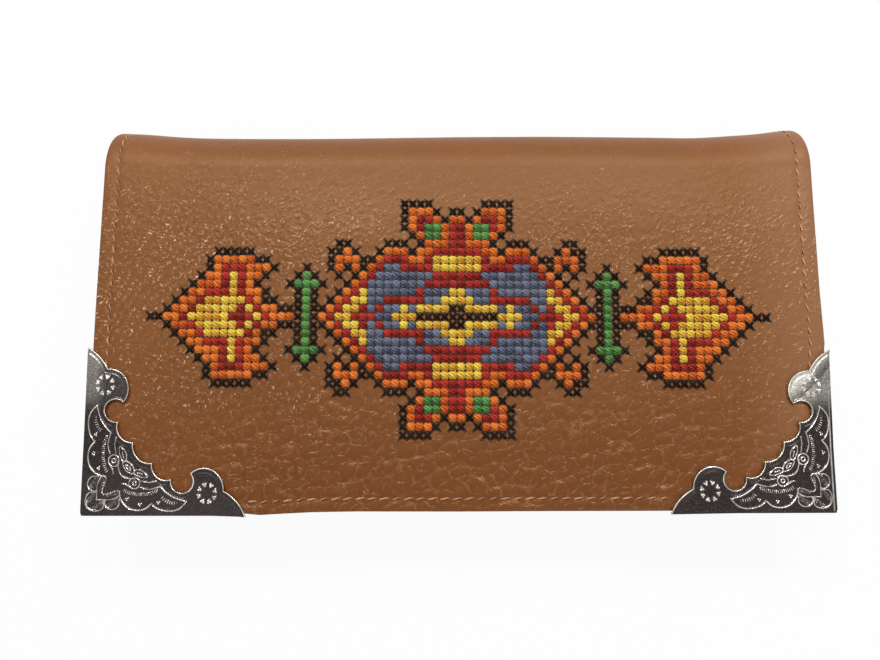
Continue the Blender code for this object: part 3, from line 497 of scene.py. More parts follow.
def cloth_finish(name, colour, thread=0.28 * MM, contrast=0.30):
    """A plain weave: two sets of threads, one over and one under."""
    made = Finish(name)
    place = made.sheet_place()
    turns = UV_SPAN / thread * math.pi
    across = (made.split(place, 0) * turns).math("SINE")
    along = (made.split(place, 1) * turns).math("SINE")
    weave = across * along * 0.5 + 0.5
    fuzz = made.noise(place, 160.0, 3.0)
    worn = made.noise(place, 6.0, 3.0)
    shade = (weave * contrast + fuzz * 0.35 + worn * 0.35).limited()
    return made.finish(
        sheen_weight=0.15,
        base_color=made.mix(shade, toned(colour, 0.55), toned(colour, 1.35)),
        roughness=0.80 + fuzz * 0.12,
        normal=made.bump(weave + fuzz * 0.4, 0.06 * MM),
    )


def metal_finish(name, colour, roughness):
    made = Finish(name)
    place = made.place()
    lines = made.noise(made.stretch(place, 0.15, 1.0, 1.0), 2600.0, 2.0)
    haze = made.noise(place, 180.0, 3.0)
    return made.finish(
        metallic=1.0,
        base_color=made.mix(haze, toned(colour, 0.72), colour),
        roughness=roughness + haze * 0.12,
        normal=made.bump(lines, SCRATCH),
    )


LINING_CLOTH = cloth_finish("brown_lining", (0.115, 0.052, 0.026))
TAPE_CLOTH = cloth_finish("zip_tape", (0.065, 0.032, 0.020), 0.45 * MM, 0.5)
ZIP_BRASS = metal_finish("zip_brass", (0.62, 0.43, 0.17), 0.26)
SNAP_METAL = metal_finish("snap_metal", (0.56, 0.54, 0.49), 0.20)


# %% [markdown]
# ## The antique silver of the corners
#
# The corners are thin stamped sheet with a dark patina. Wear has taken the patina off whatever
# stands proud, so the rim, the scrolls and the beads are bright and the ground is almost black.
# The stamping's own height is carried on the mesh, and the finish only has to read it.
# On the right corner a thin painted highlight runs along the outer edge, and the upper lobe is
# painted brighter on its side towards the light.

# %% Antique silver
def silver_finish(name, bright, dark):
    made = Finish(name)
    place = made.place()
    raised = made.carried("raised")
    scuff_and_highlight = made.carried("scuff_and_highlight")
    haze = made.noise(place, 260.0, 3.0)
    patches = made.noise(place, 60.0, 2.0)
    speckle = made.noise(place, 1900.0, 4.0, 0.7)
    lines = made.noise(made.stretch(place, 1.0, 0.2, 1.0), 1500.0, 2.0)
    # Bright where the stamping is raised and worn bare, and along the right corner's painted edge
    # highlight.
    bare = raised.step(0.30, 0.80)
    ground = made.mix(patches.step(0.35, 0.75), dark, toned(dark, 1.5))
    ground = made.mix(speckle.step(0.50, 0.68) * 0.55, ground, toned(dark, 4.0))
    rubbed = speckle.step(0.40, 0.64) * 0.45 + patches.step(0.35, 0.65) * 0.25 + 0.34
    # Rubbed bright on the upper leg, and on the right lobe a painted highlight on its side towards
    # the light.
    ground = made.mix((scuff_and_highlight * rubbed).limited(), ground, toned(bright, 0.8))
    worn = made.mix(haze.step(0.3, 0.7), toned(bright, 0.45), bright)
    return made.finish(
        metallic=1.0,
        base_color=made.mix(bare, ground, worn),
        roughness=0.18 + haze * 0.14 + scuff_and_highlight * 0.15,
        normal=made.bump(lines + haze * 2.0 + speckle * scuff_and_highlight * 4.0, SCRATCH),
    )


SILVER = silver_finish("antique_silver", (0.66, 0.63, 0.57), (0.033, 0.027, 0.026))


# %% [markdown]
# ## Cotton thread
#
# The ornament is worked with stranded cotton. Each thread shows its twist as fine slanting
# ridges, painted into the colour as highlights on their crests and shade between them. The
# finish draws them from two values that every stitch carries: how far along the thread and how
# far across it. A third value gives each stitch its own slight tone.

# %% Thread
def thread_finish(name, colour, strands=2.0, gloss=0.12):
    made = Finish(name)
    across = made.carried("across")
    along = made.carried("along")
    tone = made.carried("tone")
    twist = ((across * strands + along * 0.55) * math.tau).math("SINE") * 0.5 + 0.5
    fuzz = made.noise(made.place(), 2400.0, 2.0)
    # Painted highlight and shade: the twist's crests are painted light and its grooves dark, with a
    # random tone per stitch.
    shade = (twist * 0.70 + fuzz * 0.40 + tone * 0.45 - 0.26).limited()
    made.shader.inputs["Specular IOR Level"].default_value = gloss
    return made.finish(
        base_color=made.mix(shade, toned(colour, 0.27), toned(colour, 2.05, 0.014)),
        roughness=0.50 + fuzz * 0.20,
        normal=made.bump(twist + fuzz * 0.6, 0.16 * MM),
    )


THREAD_TABLE = [
    ("black", "black_thread", (0.015, 0.008, 0.005), 0.05),
    ("orange", "orange_thread", (1.42, 0.138, 0.019), 0.12),
    ("red", "dark_red_thread", (0.30, 0.021, 0.013), 0.12),
    ("yellow", "yellow_thread", (1.90, 0.420, 0.050), 0.12),
    ("blue", "blue_grey_thread", (0.110, 0.124, 0.182), 0.12),
    ("green", "green_thread", (0.085, 0.236, 0.056), 0.12),
]
THREADS = {
    colour: thread_finish(slot, base, gloss=gloss) for colour, slot, base, gloss in THREAD_TABLE
}
SEAM_THREAD = thread_finish("seam_thread", (0.380, 0.190, 0.098), 1.5)


# %% [markdown]
# ## Helpers for meshes
#
# A sheet is made flat, the way leather is cut. Its columns run across the wallet and its rows
# run along the cover, and only then is it rolled over the route. These helpers select, read and
# write points, and store a value on every point.

# %% Select, read, write
def alone(item):
    bpy.ops.object.select_all(action="DESELECT")
    item.select_set(True)
    bpy.context.view_layer.objects.active = item
    return item


ALL = (bpy.ops.mesh.select_all, {"action": "SELECT"})
NONE = (bpy.ops.mesh.select_all, {"action": "DESELECT"})
FACE_OUTWARD = (bpy.ops.mesh.normals_make_consistent, {"inside": False})


def edited(item, *steps):
    """Run mesh operators on an item; each step is an operator and its settings."""
    alone(item)
    bpy.ops.object.mode_set(mode="EDIT")
    for operator, settings in steps:
        operator(**settings)
    bpy.ops.object.mode_set(mode="OBJECT")


def joined(first, *others):
    alone(first)
    for item in others:
        item.select_set(True)
    bpy.ops.object.join()


def thickened(item, thickness, offset):
    """Turn a single face sheet into a closed one."""
    alone(item)
    modifier = item.modifiers.new("sheet", "SOLIDIFY")
    modifier.thickness = thickness
    modifier.offset = offset
    bpy.ops.object.modifier_apply(modifier=modifier.name)


def read_points(item):
    flat = np.zeros(len(item.data.vertices) * 3)
    item.data.vertices.foreach_get("co", flat)
    return flat.reshape(-1, 3)


def write_points(item, points):
    item.data.vertices.foreach_set("co", np.ascontiguousarray(points, float).ravel())
    item.data.update()


def store(item, name, values):
    layer = item.data.attributes.get(name) or item.data.attributes.new(name, "FLOAT", "POINT")
    layer.data.foreach_set("value", np.asarray(values, np.float32))


def lay_uv(item, flat_points):
    """Flat coordinates as the UV map."""
    mesh = item.data
    layer = mesh.uv_layers[0] if mesh.uv_layers else mesh.uv_layers.new(name="flat")
    corners = np.zeros(len(mesh.loops), int)
    mesh.loops.foreach_get("vertex_index", corners)
    layer.data.foreach_set("uv", (flat_points[corners][:, :2] / UV_SPAN).astype(np.float32).ravel())


def smooth(item, degrees=60.0):
    alone(item)
    bpy.ops.object.shade_smooth_by_angle(angle=math.radians(degrees))
    return item


def dress(item, material):
    item.data.materials.clear()
    item.data.materials.append(material)
    return item


EASE = np.array([0.0, 0.07, 0.2, 0.4, 0.75]) * MM


def stops(start, end, spacing, eased=(True, True)):
    """Places from start to end in fours, closer together where an edge rounds off."""
    low = start + EASE[-1] * eased[0]
    high = end - EASE[-1] * eased[1]
    count = 4 * max(1, round((high - low) / spacing / 4))
    first = [start + EASE[:-1]] if eased[0] else []
    last = [end - EASE[-2::-1]] if eased[1] else []
    return np.concatenate([*first, np.linspace(low, high, count + 1), *last])


def laid_grid(name, across, along, height=0.0):
    """A grid primitive whose columns and rows stand at the given places."""
    bpy.ops.object.select_all(action="DESELECT")
    cells = {"x_subdivisions": len(across) - 1, "y_subdivisions": len(along) - 1}
    bpy.ops.mesh.primitive_grid_add(**cells, size=1.0)
    grid = bpy.context.object
    grid.name = name
    points = read_points(grid)
    column = np.rint((points[:, 0] + 0.5) * (len(across) - 1)).astype(int)
    row = np.rint((points[:, 1] + 0.5) * (len(along) - 1)).astype(int)
    write_points(grid, np.stack([across[column], along[row], np.full(len(row), height)], 1))
    return grid


# %% [markdown]
# ## Rolling a flat sheet over the wallet
#
# Seen from the side, the cover follows straight runs and half turns. A point of the flat sheet
# has a place across, a place along and a height over the leather's face. The route turns it
# into a place on the wallet. The ends of the fold are pinched round, and the fold is a little
# fuller at its ends than in the middle, as in the photo.

# %% Routes
def smoothstep(values, low, high):
    t = np.clip((values - low) / (high - low), 0.0, 1.0)
    return t * t * (3.0 - 2.0 * t)


class Route:
    """A side view line of straight runs and turns to the right, each (length, turn)."""

    def __init__(self, y, z, heading, runs):
        rows = [(0.0, y, z, heading)]
        for length, turn in runs:
            steps = 64 if turn else 1
            half = turn / steps / 2
            chord = length / steps * (math.sin(half) / half if turn else 1.0)
            for _ in range(steps):
                run, y, z, heading = rows[-1]
                y += chord * math.cos(heading - half)
                z += chord * math.sin(heading - half)
                rows.append((run + length / steps, y, z, heading - 2 * half))
        self.run, self.y, self.z, self.heading = np.array(rows).T

    def lay(self, points):
        x, along, height = points.T
        heading = np.interp(along, self.run, self.heading)
        y = np.interp(along, self.run, self.y) - np.sin(heading) * height
        z = np.interp(along, self.run, self.z) + np.cos(heading) * height
        return np.stack([x, y, z], 1)


def straight_route(low, high):
    """The route of a sheet that stands upright in its packed box."""
    return Route(low.y, high.z, 0.0, [(high.y - low.y, 0.0)])


COVER_RUNS = [
    (FLAP_RUN, 0.0), (FOLD_RUN, math.pi), (BACK_RUN, 0.0), (TURN_RUN, math.pi), (FRONT_RUN, 0.0)
]
COVER = Route(FLAP_EDGE, 2 * FOLD_RADIUS, 0.0, COVER_RUNS)
FOLD_END_ROUNDING = 1.8 * MM

# How far the fold stands out (by width), in millimetres, and how far that line is softened.
FOLD_WAVE = np.array([
    (-94, 0.5), (-90, 0.4), (-84, 0.1), (-78, -0.5), (-70, -0.9), (-55, -1.0), (-40, -0.95),
    (-28, -0.8), (0, -0.3), (23, -0.1), (40, -0.2), (53, -0.3), (66, -0.5), (74, 0.1), (83, 0.7),
    (90, 1.8), (94, 2.0),
])
WAVE_REACH, WAVE_SOFTNESS = 24, 8.0


def fold_swell(x, along):
    """How far the fold stands out of its true half turn."""
    turn = np.clip((along - FLAP_RUN) / FOLD_RADIUS, 0.0, math.pi)
    missing = np.clip(FOLD_END_ROUNDING - (HALF_WIDTH - np.abs(x)), 0.0, FOLD_END_ROUNDING)
    pinch = FOLD_END_ROUNDING - np.sqrt(FOLD_END_ROUNDING**2 - missing**2)
    places = np.linspace(-100.0, 100.0, 401)
    wave = np.interp(places, *FOLD_WAVE.T)
    kernel = np.exp(-((np.arange(-WAVE_REACH, WAVE_REACH + 1) / WAVE_SOFTNESS) ** 2))
    wave = np.convolve(np.pad(wave, WAVE_REACH, mode="edge"), kernel / kernel.sum(), mode="valid")
    return np.sin(turn) * (np.interp(x / MM, places, wave) * MM - pinch)


# Where the flap lies against its drawn place: to the right (by height) and up (by width).
LEFT_EDGE = np.array([(-52, 0.9), (-30, 0.5), (-12, 0.1), (0, 0.0), (60, 0.0)])
RIGHT_EDGE = np.array([
    (-52, 0.0), (-35, 0.05), (-22, 0.35), (-12, 0.55), (-8, 1.0), (-2, 0.85), (5, 0.65),
    (30, 0.5), (60, 0.4),
])
LOWER_EDGE = np.array([
    (-94, -0.8), (-62, -0.7), (-55, -0.9), (-50, -1.35), (-43, -0.95), (-36, -0.6), (-25, -0.4),
    (0, -0.35), (25, -0.15), (53, 0.0), (70, 0.35), (94, 0.5),
])


def settled(x, y, share=1.0):
    """The flap isn't quite square on the body: its edges lie up to a millimetre off."""
    u, v = x / MM, y / MM
    right = np.interp(v, *LEFT_EDGE.T) * smoothstep(-u, 30, 66)
    right = right + np.interp(v, *RIGHT_EDGE.T) * smoothstep(u, 60, 90)
    up = np.interp(u, *LOWER_EDGE.T) * (1.0 - smoothstep(v, -48, -16))
    return x + right * share * MM, y + up * share * MM


def flap_swell(x, along):
    """Slow waves of the flap, which die away at its edges."""
    inside = smoothstep(HALF_WIDTH - np.abs(x), 0.0, 30 * MM)
    inside *= smoothstep(along, 4 * MM, 34 * MM)
    inside *= 1.0 - smoothstep(along, FLAP_RUN - 22 * MM, FLAP_RUN)
    waves = np.sin(x * 61 + along * 38 + 0.6) + np.sin(x * -43 + along * 72 + 2.1)
    return inside * waves * 0.16 * MM


def roll(points):
    """Flat points of the cover (across, along, height) to their places on the wallet."""
    x, along, height = points.T
    height = height + fold_swell(x, along) + flap_swell(x, along)
    past_spine = smoothstep(along, SPINE_MIDDLE, SPINE_MIDDLE + FOLD_RUN)
    narrow = (HALF_WIDTH - BODY_HALF_WIDTH) * past_spine
    laid = COVER.lay(np.stack([x * (1.0 - narrow / HALF_WIDTH), along, height], 1))
    on_flap = 1.0 - smoothstep(along, FLAP_RUN, SPINE_MIDDLE)
    laid[:, 0], laid[:, 1] = settled(laid[:, 0], laid[:, 1], on_flap)
    return laid


print("end of the cover in mm:", np.round(roll(np.array([[0.0, FLAT_LENGTH, 0.0]])) / MM, 2))


# %% [markdown]
# ## Creases and pebbles in the mesh
#
# The pebbles come from the distance to the nearest and to the second nearest of scattered
# seeds. Where the two are equal a crease runs. Two sizes are laid over each other, and the
# large ones are stretched across the flap near its free edge, where the leather has been bent
# most. A shallow groove is pressed along each line of stitching.

# %% Pebble relief
def scatter(column, row, seed):
    value = np.sin(column * 127.1 + row * 311.7 + seed * 74.7) * 43758.5453
    return value - np.floor(value)


def pebble_field(u, v, seed):
    """1 on a pebble's top, 0 in the crease around it."""
    near = np.full(u.shape, 9.0)
    second = np.full(u.shape, 9.0)
    for du in (-1, 0, 1):
        for dv in (-1, 0, 1):
            column, row = np.floor(u) + du, np.floor(v) + dv
            gap_u = column + 0.1 + 0.8 * scatter(column, row, seed) - u
            gap_v = row + 0.1 + 0.8 * scatter(column, row, seed + 1) - v
            reach = np.hypot(gap_u, gap_v)
            second = np.minimum(second, np.maximum(near, reach))
            near = np.minimum(near, reach)
    return smoothstep(second - near, 0.0, 0.62)


def drift(u, v, seed):
    """Slow wander between 0 and 1."""
    total = np.zeros(u.shape)
    for turn, (a, b) in enumerate(((1.0, 0.6), (-0.7, 1.1), (1.9, -1.3), (2.3, 2.1))):
        total += np.sin(u * a + v * b + seed + turn * 1.7) / (1.0 + turn * 0.5)
    return 0.5 + total / 5.4


SEAM_INSET = 3.8 * MM
EDGE_SEAM_INSET = 3.2 * MM
EDGE_ROUNDING = 0.55 * MM


def groove(distance, depth=0.16 * MM, width=0.7 * MM):
    return -depth * np.exp(-((distance / width) ** 2))


def rounded(distance, radius=EDGE_ROUNDING):
    missing = np.clip(radius - distance, 0.0, radius)
    return np.sqrt(radius**2 - missing**2) - radius


def leather_relief(x, along):
    """Height under the leather's highest face, and how deep in a crease each point is."""
    u, v = x / MM, along / MM
    push_u = u + 2.4 * (drift(u / 5, v / 5, 1.0) - 0.5)
    push_v = v + 2.4 * (drift(u / 6, v / 4, 5.0) - 0.5)
    large = pebble_field(push_u / 3.9, push_v / 2.3, 3)
    medium = pebble_field(push_u / 1.9, push_v / 1.6, 8)
    fold_start, fold_end = FLAP_RUN / MM, (FLAP_RUN + FOLD_RUN) / MM
    smooth_part = smoothstep(v, fold_start - 26, fold_start)
    smooth_part *= 1.0 - smoothstep(v, fold_end - 12, fold_end + 14)
    low_part = 1.0 - smoothstep(v, 26, 58)
    patches = 0.55 + 0.9 * drift(u / 16, v / 13, 2.0)
    large_depth = (0.035 + 0.085 * low_part) * patches * (1.0 - 0.6 * smooth_part)
    medium_depth = 0.04 * (1.5 - patches * 0.6) * (1.0 - 0.65 * smooth_part)
    height = -(1.0 - large) * large_depth * MM - (1.0 - medium) * medium_depth * MM
    crease = (1.0 - large) * (0.25 + 0.75 * low_part) + (1.0 - medium) * 0.3
    height += groove(HALF_WIDTH - np.abs(x) - SEAM_INSET)
    height += groove(along - EDGE_SEAM_INSET) + groove(FLAT_LENGTH - along - EDGE_SEAM_INSET)
    height += rounded(HALF_WIDTH - np.abs(x)) + rounded(along) + rounded(FLAT_LENGTH - along)
    return height, np.clip(crease, 0.0, 1.0)


# %% [markdown]
# ## A sheet with two faces
#
# The outside needs fine rows for its relief and the inside does not. So a sheet is a fine grid
# and a second grid with a quarter of the columns and rows. A bridge joins them round their
# edges, and the flat size stays on the mesh as its UV map.

# %% Two faces and a bridge
def two_faced(name, across, along, thickness, height=0.0, thinning=4):
    face = laid_grid(name, across, along, height)
    flesh = laid_grid(name + "_inside", across[::thinning], along[::thinning], height - thickness)
    edited(flesh, ALL, (bpy.ops.mesh.flip_normals, {}))
    joined(face, flesh)
    edited(
        face,
        (bpy.ops.mesh.select_mode, {"type": "EDGE"}),
        NONE,
        (bpy.ops.mesh.select_non_manifold, {}),
        (bpy.ops.mesh.bridge_edge_loops, {}),
    )
    flat = read_points(face)
    lay_uv(face, flat)
    return face, flat


def leather_part(name, start, end, spacing):
    eased = (start == 0.0, end == FLAT_LENGTH)
    across = stops(-HALF_WIDTH, HALF_WIDTH, spacing)
    along = stops(start, end, spacing, eased)
    part, flat = two_faced(name, across, along, LEATHER)
    top = flat[:, 2] > -0.5 * LEATHER
    height, crease = leather_relief(flat[:, 0], flat[:, 1])
    flat[top, 2] += height[top]
    store(part, "crease", np.where(top, crease, 0.5))
    write_points(part, roll(flat))
    smooth(part)
    print(name, "faces:", len(part.data.polygons))
    return part, flat


# %% [markdown]
# ## The leather cover in two parts
#
# The two parts meet in the middle of the spine.


def bend_front(item):
    FOLD_Y + FOLD_RADIUS
    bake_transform(item)


def bend_back(item):
    FOLD_Y + FOLD_RADIUS
    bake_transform(item)


cover_front, cover_flat = leather_part("cover_front", 0.0, SPINE_MIDDLE, 0.64 * MM)
dress(cover_front, FLAP_LEATHER)
bend_front(cover_front)
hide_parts("flap_leather", "spine_leather")

cover_back, _ = leather_part("cover_back", SPINE_MIDDLE, FLAT_LENGTH, 1.0 * MM)
dress(cover_back, BODY_LEATHER)
bend_back(cover_back)
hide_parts("body_leather")


# %% [markdown]
# ## The linings
#
# A thin woven lining follows the leather on its inside. It is one cloth on the real wallet, cut
# here at the same line as the leather, and it lies slack enough to show slight waves.

# %% Lining cloth
def cloth_waves(flat, amount):
    x, along = flat[:, 0], flat[:, 1]
    return amount * (np.sin(x * 95 + along * 40) + np.sin(x * 37 - along * 120 + 1.0))


LINING_INSET = 0.4 * MM


def lining_part(name, start, end):
    across = stops(-HALF_WIDTH + LINING_INSET, HALF_WIDTH - LINING_INSET, 2.4 * MM)
    eased = (start < 1 * MM, end > FLAT_LENGTH - 1 * MM)
    along = stops(start, end, 1.6 * MM, eased)
    part, flat = two_faced(name, across, along, LINING, -LINING_DEPTH, 2)
    flat[:, 2] -= np.abs(cloth_waves(flat, 0.05 * MM))
    write_points(part, roll(flat))
    return dress(smooth(part), LINING_CLOTH)


lining_front = lining_part("lining_front", 0.0, SPINE_MIDDLE)
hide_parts("flap_lining", "spine_lining")
lining_back = lining_part("lining_back", SPINE_MIDDLE, FLAT_LENGTH)
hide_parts("body_lining")
bend_front(lining_front)
bend_back(lining_back)
print("linings:", len(lining_front.data.polygons), len(lining_back.data.polygons))


# %% [markdown]
# ## The coin pocket
#
# One strip of lining cloth is folded at its bottom and stands between the two note pockets.
# Its mouth carries the zip. It is laid over its own short route: down, round and up again.

# %% Coin pocket
pocket_low, pocket_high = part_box("coin_pocket")
COIN_WALL = 0.6 * MM
coin_radius = (pocket_high.z - pocket_low.z) / 2
coin_straight = pocket_high.y - pocket_low.y - coin_radius
coin_round = math.pi * coin_radius
coin_runs = [(coin_straight, 0.0), (coin_round, math.pi), (coin_straight, 0.0)]
coin_route = Route(pocket_high.y, pocket_low.z, -math.pi, coin_runs)
coin_length = 2 * coin_straight + coin_round
coin_across = stops(-pocket_high.x, pocket_high.x, 3.0 * MM)
coin_along = stops(0.0, coin_length, 0.9 * MM)
coin_pocket, flat = two_faced("coin_pocket_cloth", coin_across, coin_along, COIN_WALL, 0.0, 2)
from_mouth = np.minimum(flat[:, 1], coin_length - flat[:, 1])
flat[:, 2] += cloth_waves(flat, 0.18 * MM) * smoothstep(from_mouth, 12 * MM, 26 * MM)
write_points(coin_pocket, coin_route.lay(flat))
dress(smooth(coin_pocket), LINING_CLOTH)
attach(coin_pocket, "body")
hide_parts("coin_pocket")
print("coin pocket, flat length in mm:", round(coin_length / MM, 1))


# %% [markdown]
# ## Pleated gussets
#
# Each end of the body is closed by a pleated side wall, which lets the three pockets open. It
# is a strip folded inwards once for every pocket. The strip follows the round bottom, where
# its edges are turned in.

# %% Gussets
PLEAT_WALL = 0.4 * MM
PLEAT_GAP = 0.45 * MM
POCKET_WALLS = (pocket_low.z + COIN_WALL / 2, pocket_high.z - COIN_WALL / 2)


def pleated(part, depth):
    """How far the strip is folded in; part counts the folds, from 0 to 3."""
    return depth * np.sin(math.pi * part) ** 2


def fold_height(part, low, high):
    return np.interp(part, np.arange(4), [low.z, *POCKET_WALLS, high.z])


def pleat_length(low, high):
    """The flat width of the strip, measured along its three folds."""
    part = np.linspace(0.0, 3.0, 601)
    x, z = pleated(part, high.x - low.x - PLEAT_GAP), fold_height(part, low, high)
    return float(np.hypot(np.diff(x), np.diff(z)).sum())


def gusset(name, node, side):
    low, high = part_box(node)
    outer = max(abs(low.x), abs(high.x)) - PLEAT_WALL / 2
    middle = (low.z + high.z) / 2
    reach = high.z - middle
    strip = laid_grid(name, np.linspace(0.0, 3.0, 43), np.linspace(low.y, high.y, 33))
    part, y, _ = read_points(strip).T
    pleat = pleated(part, high.x - low.x - PLEAT_GAP) * (0.9 + 0.1 * np.sin(y * 160 + part * 2))
    room = np.sqrt(np.maximum(reach**2 - np.clip(TURN_Y - y, 0.0, reach) ** 2, 0.0))
    z = np.clip(fold_height(part, low, high), middle - room, middle + room)
    lay_uv(strip, np.stack([part * 6 * MM, y, z], 1))
    write_points(strip, np.stack([side * (outer - pleat), y, z], 1))
    thickened(strip, PLEAT_WALL, 0.0)
    edited(strip, ALL, FACE_OUTWARD)
    dress(smooth(strip), LINING_CLOTH)
    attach(strip, "body")
    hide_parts(node)
    return strip


gussets = [gusset("pleats_left", "gusset_left", -1), gusset("pleats_right", "gusset_right", 1)]
PLEAT_LENGTH = pleat_length(*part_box("gusset_right"))
print("pleated strip, flat width in mm:", round(PLEAT_LENGTH / MM, 1))
print("gusset faces:", [len(item.data.polygons) for item in gussets])


# %% [markdown]
# ## Card strips
#
# Three strips of thin leather lie stepped on the front, each over the one behind it. A pressed
# line follows each mouth and a seam parts the strips into two rows of card slots.

# %% Card strips
def card_strip(name, node):
    low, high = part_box(node)
    length = high.y - low.y
    across, along = stops(low.x, high.x, 1.6 * MM), stops(0.0, length, 1.4 * MM)
    strip, flat = two_faced(name, across, along, high.z - low.z)
    x, along = flat[:, 0], flat[:, 1]
    from_side, from_mouth = high.x - np.abs(x), length - along
    top = flat[:, 2] > -0.25 * MM
    press = groove(from_mouth - 1.8 * MM, 0.08 * MM, 0.4 * MM)
    press += groove(x, 0.10 * MM, 0.6 * MM) + groove(from_side - 2.0 * MM, 0.10 * MM, 0.6 * MM)
    edge = sum(rounded(distance, 0.2 * MM) for distance in (from_side, from_mouth, along))
    flat[top, 2] += (press + edge)[top]
    store(strip, "crease", np.zeros(len(flat)))
    write_points(strip, straight_route(low, high).lay(flat))
    dress(smooth(strip), STRIP_LEATHER)
    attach(strip, "body")
    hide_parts(node)
    return strip


STRIP_PLACES = ("top", "middle", "bottom")
card_strips = [card_strip("strip_" + place, "card_strip_" + place) for place in STRIP_PLACES]
print("card strip faces:", [len(item.data.polygons) for item in card_strips])


# %% [markdown]
# ## The zip
#
# The tapes are woven, with fine ribs across them. The teeth, stops, slider and
# pull keep their imported shapes, because those are right, and take a worn brass.

# %% Zip tapes and metal
def zip_tape(name, node):
    low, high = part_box(node)
    across, along = stops(low.x, high.x, 2.0 * MM), stops(0.0, high.y - low.y, 0.5 * MM)
    tape, flat = two_faced(name, across, along, high.z - low.z, 0.0, 2)
    top = flat[:, 2] > -0.2 * MM
    ribs = 0.04 * MM * np.sin(flat[:, 1] / MM * 6.0) - 0.05 * MM
    flat[top, 2] += ribs[top]
    write_points(tape, straight_route(low, high).lay(flat))
    dress(smooth(tape), TAPE_CLOTH)
    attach(tape, "body")
    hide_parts(node)
    return tape


zip_tapes = [zip_tape("tape_front", "zip_tape_front"), zip_tape("tape_rear", "zip_tape_rear")]
NEW_METAL = {
    ZIP_BRASS: (
        "zip_teeth_front", "zip_teeth_rear", "zip_stop_closed", "zip_stop_open",
        "zip_slider", "zip_pull",
    ),
    SNAP_METAL: ("snap_socket", "snap_stud"),
}
for metal, nodes in NEW_METAL.items():
    for node in nodes:
        for place in frame["nodes"][node].material_slots:
            place.material = metal
print("zip tape faces:", [len(item.data.polygons) for item in zip_tapes])


# %% [markdown]
# ## One stitch, copied many times
#
# A stitch is a short round thread. One six-sided bar is made, cut across so that it can arch,
# and then copied with numpy into a single mesh per colour. Each copy carries the place along
# and across the thread for the twist, and a tone of its own.

# %% The short bar
def short_bar():
    bpy.ops.object.select_all(action="DESELECT")
    bpy.ops.mesh.primitive_cylinder_add(
        vertices=6, radius=0.5, depth=1.0, end_fill_type="NGON", rotation=(0.0, math.pi / 2, 0.0)
    )
    bar = bpy.context.object
    bpy.ops.object.transform_apply(location=False, rotation=True, scale=False)
    for cut in (-0.3, 0.0, 0.3):
        plane = {"plane_co": (cut, 0.0, 0.0), "plane_no": (1.0, 0.0, 0.0)}
        edited(bar, ALL, (bpy.ops.mesh.bisect, plane))
    points = read_points(bar)
    faces = [tuple(face.vertices) for face in bar.data.polygons]
    bpy.data.objects.remove(bar)
    return points, faces


BAR_POINTS, BAR_FACES = short_bar()
BAR_ANGLE = np.arctan2(BAR_POINTS[:, 2], BAR_POINTS[:, 1]) / math.tau
FLATTENED = 0.85
PLY_LENGTH = 1.2 * MM
print("bar:", len(BAR_POINTS), "points,", len(BAR_FACES), "faces")


def laid_bar(centre, direction, reach, side, rise):
    """The points of a bar that runs in a direction of the flat sheet."""
    (x, along), (dx, dy) = centre, direction
    return np.stack([x + reach * dx - side * dy, along + reach * dy + side * dx, rise], 1)


def many(name, copies, tones, lengths):
    """One mesh from many placed copies of the bar; copies is a list of point arrays."""
    points = np.concatenate(copies)
    count = len(BAR_POINTS)
    faces = [
        tuple(corner + number * count for corner in face)
        for number in range(len(copies))
        for face in BAR_FACES
    ]
    mesh = bpy.data.meshes.new(name)
    mesh.from_pydata(points.tolist(), [], faces)
    item = placed(name, mesh)
    along = np.concatenate([BAR_POINTS[:, 0] * length / PLY_LENGTH for length in lengths])
    store(item, "along", along)
    store(item, "across", np.tile(BAR_ANGLE, len(copies)))
    store(item, "tone", np.repeat(tones, count))
    return smooth(item, 50.0)


# %% [markdown]
# ## The machine seam
#
# One line of stitches follows both sides over the fold and the bottom edge between the corners.
# A machine stitch sits in its groove with both ends pulled into their holes, so the bar is
# thick in its middle and its ends dip under the leather.

# %% Seam stitches
SEAM_PITCH = 3.05 * MM
SEAM_LENGTH = 2.75 * MM
SEAM_RADIUS = 0.25 * MM
SEAM_SLANT = math.radians(7)
SEAM_DIP = 0.42 * MM
seam_random = random.Random(4)


def seam_stitch(x, along, direction):
    """A bar laid in the flat sheet; direction 0 runs across, 90 degrees runs along."""
    turn = direction + SEAM_SLANT + seam_random.uniform(-0.04, 0.04)
    end = np.abs(BAR_POINTS[:, 0]) * 2
    thick = SEAM_RADIUS * 2 * (1.0 - 0.45 * end**3)
    reach = BAR_POINTS[:, 0] * SEAM_LENGTH
    side = BAR_POINTS[:, 1] * thick
    rise = BAR_POINTS[:, 2] * thick * FLATTENED + 0.02 * MM - SEAM_DIP * end**2.5
    return laid_bar((x, along), (math.cos(turn), math.sin(turn)), reach, side, rise)


def side_seam(start, end):
    places = np.arange(start + SEAM_PITCH / 2, end, SEAM_PITCH)
    edge = HALF_WIDTH - SEAM_INSET
    return [seam_stitch(side * edge, along, math.pi / 2) for side in (-1, 1) for along in places]


def cross_seam(along, half_width):
    count = int(half_width // SEAM_PITCH)
    places = np.arange(-count, count + 1) * SEAM_PITCH
    return [seam_stitch(x, along, 0.0) for x in places]


def seam(name, stitches, place):
    tones = [seam_random.random() for _ in stitches]
    made = many(name, [place(stitch) for stitch in stitches], tones, [SEAM_LENGTH] * len(stitches))
    made.data.materials.append(SEAM_THREAD)
    return made


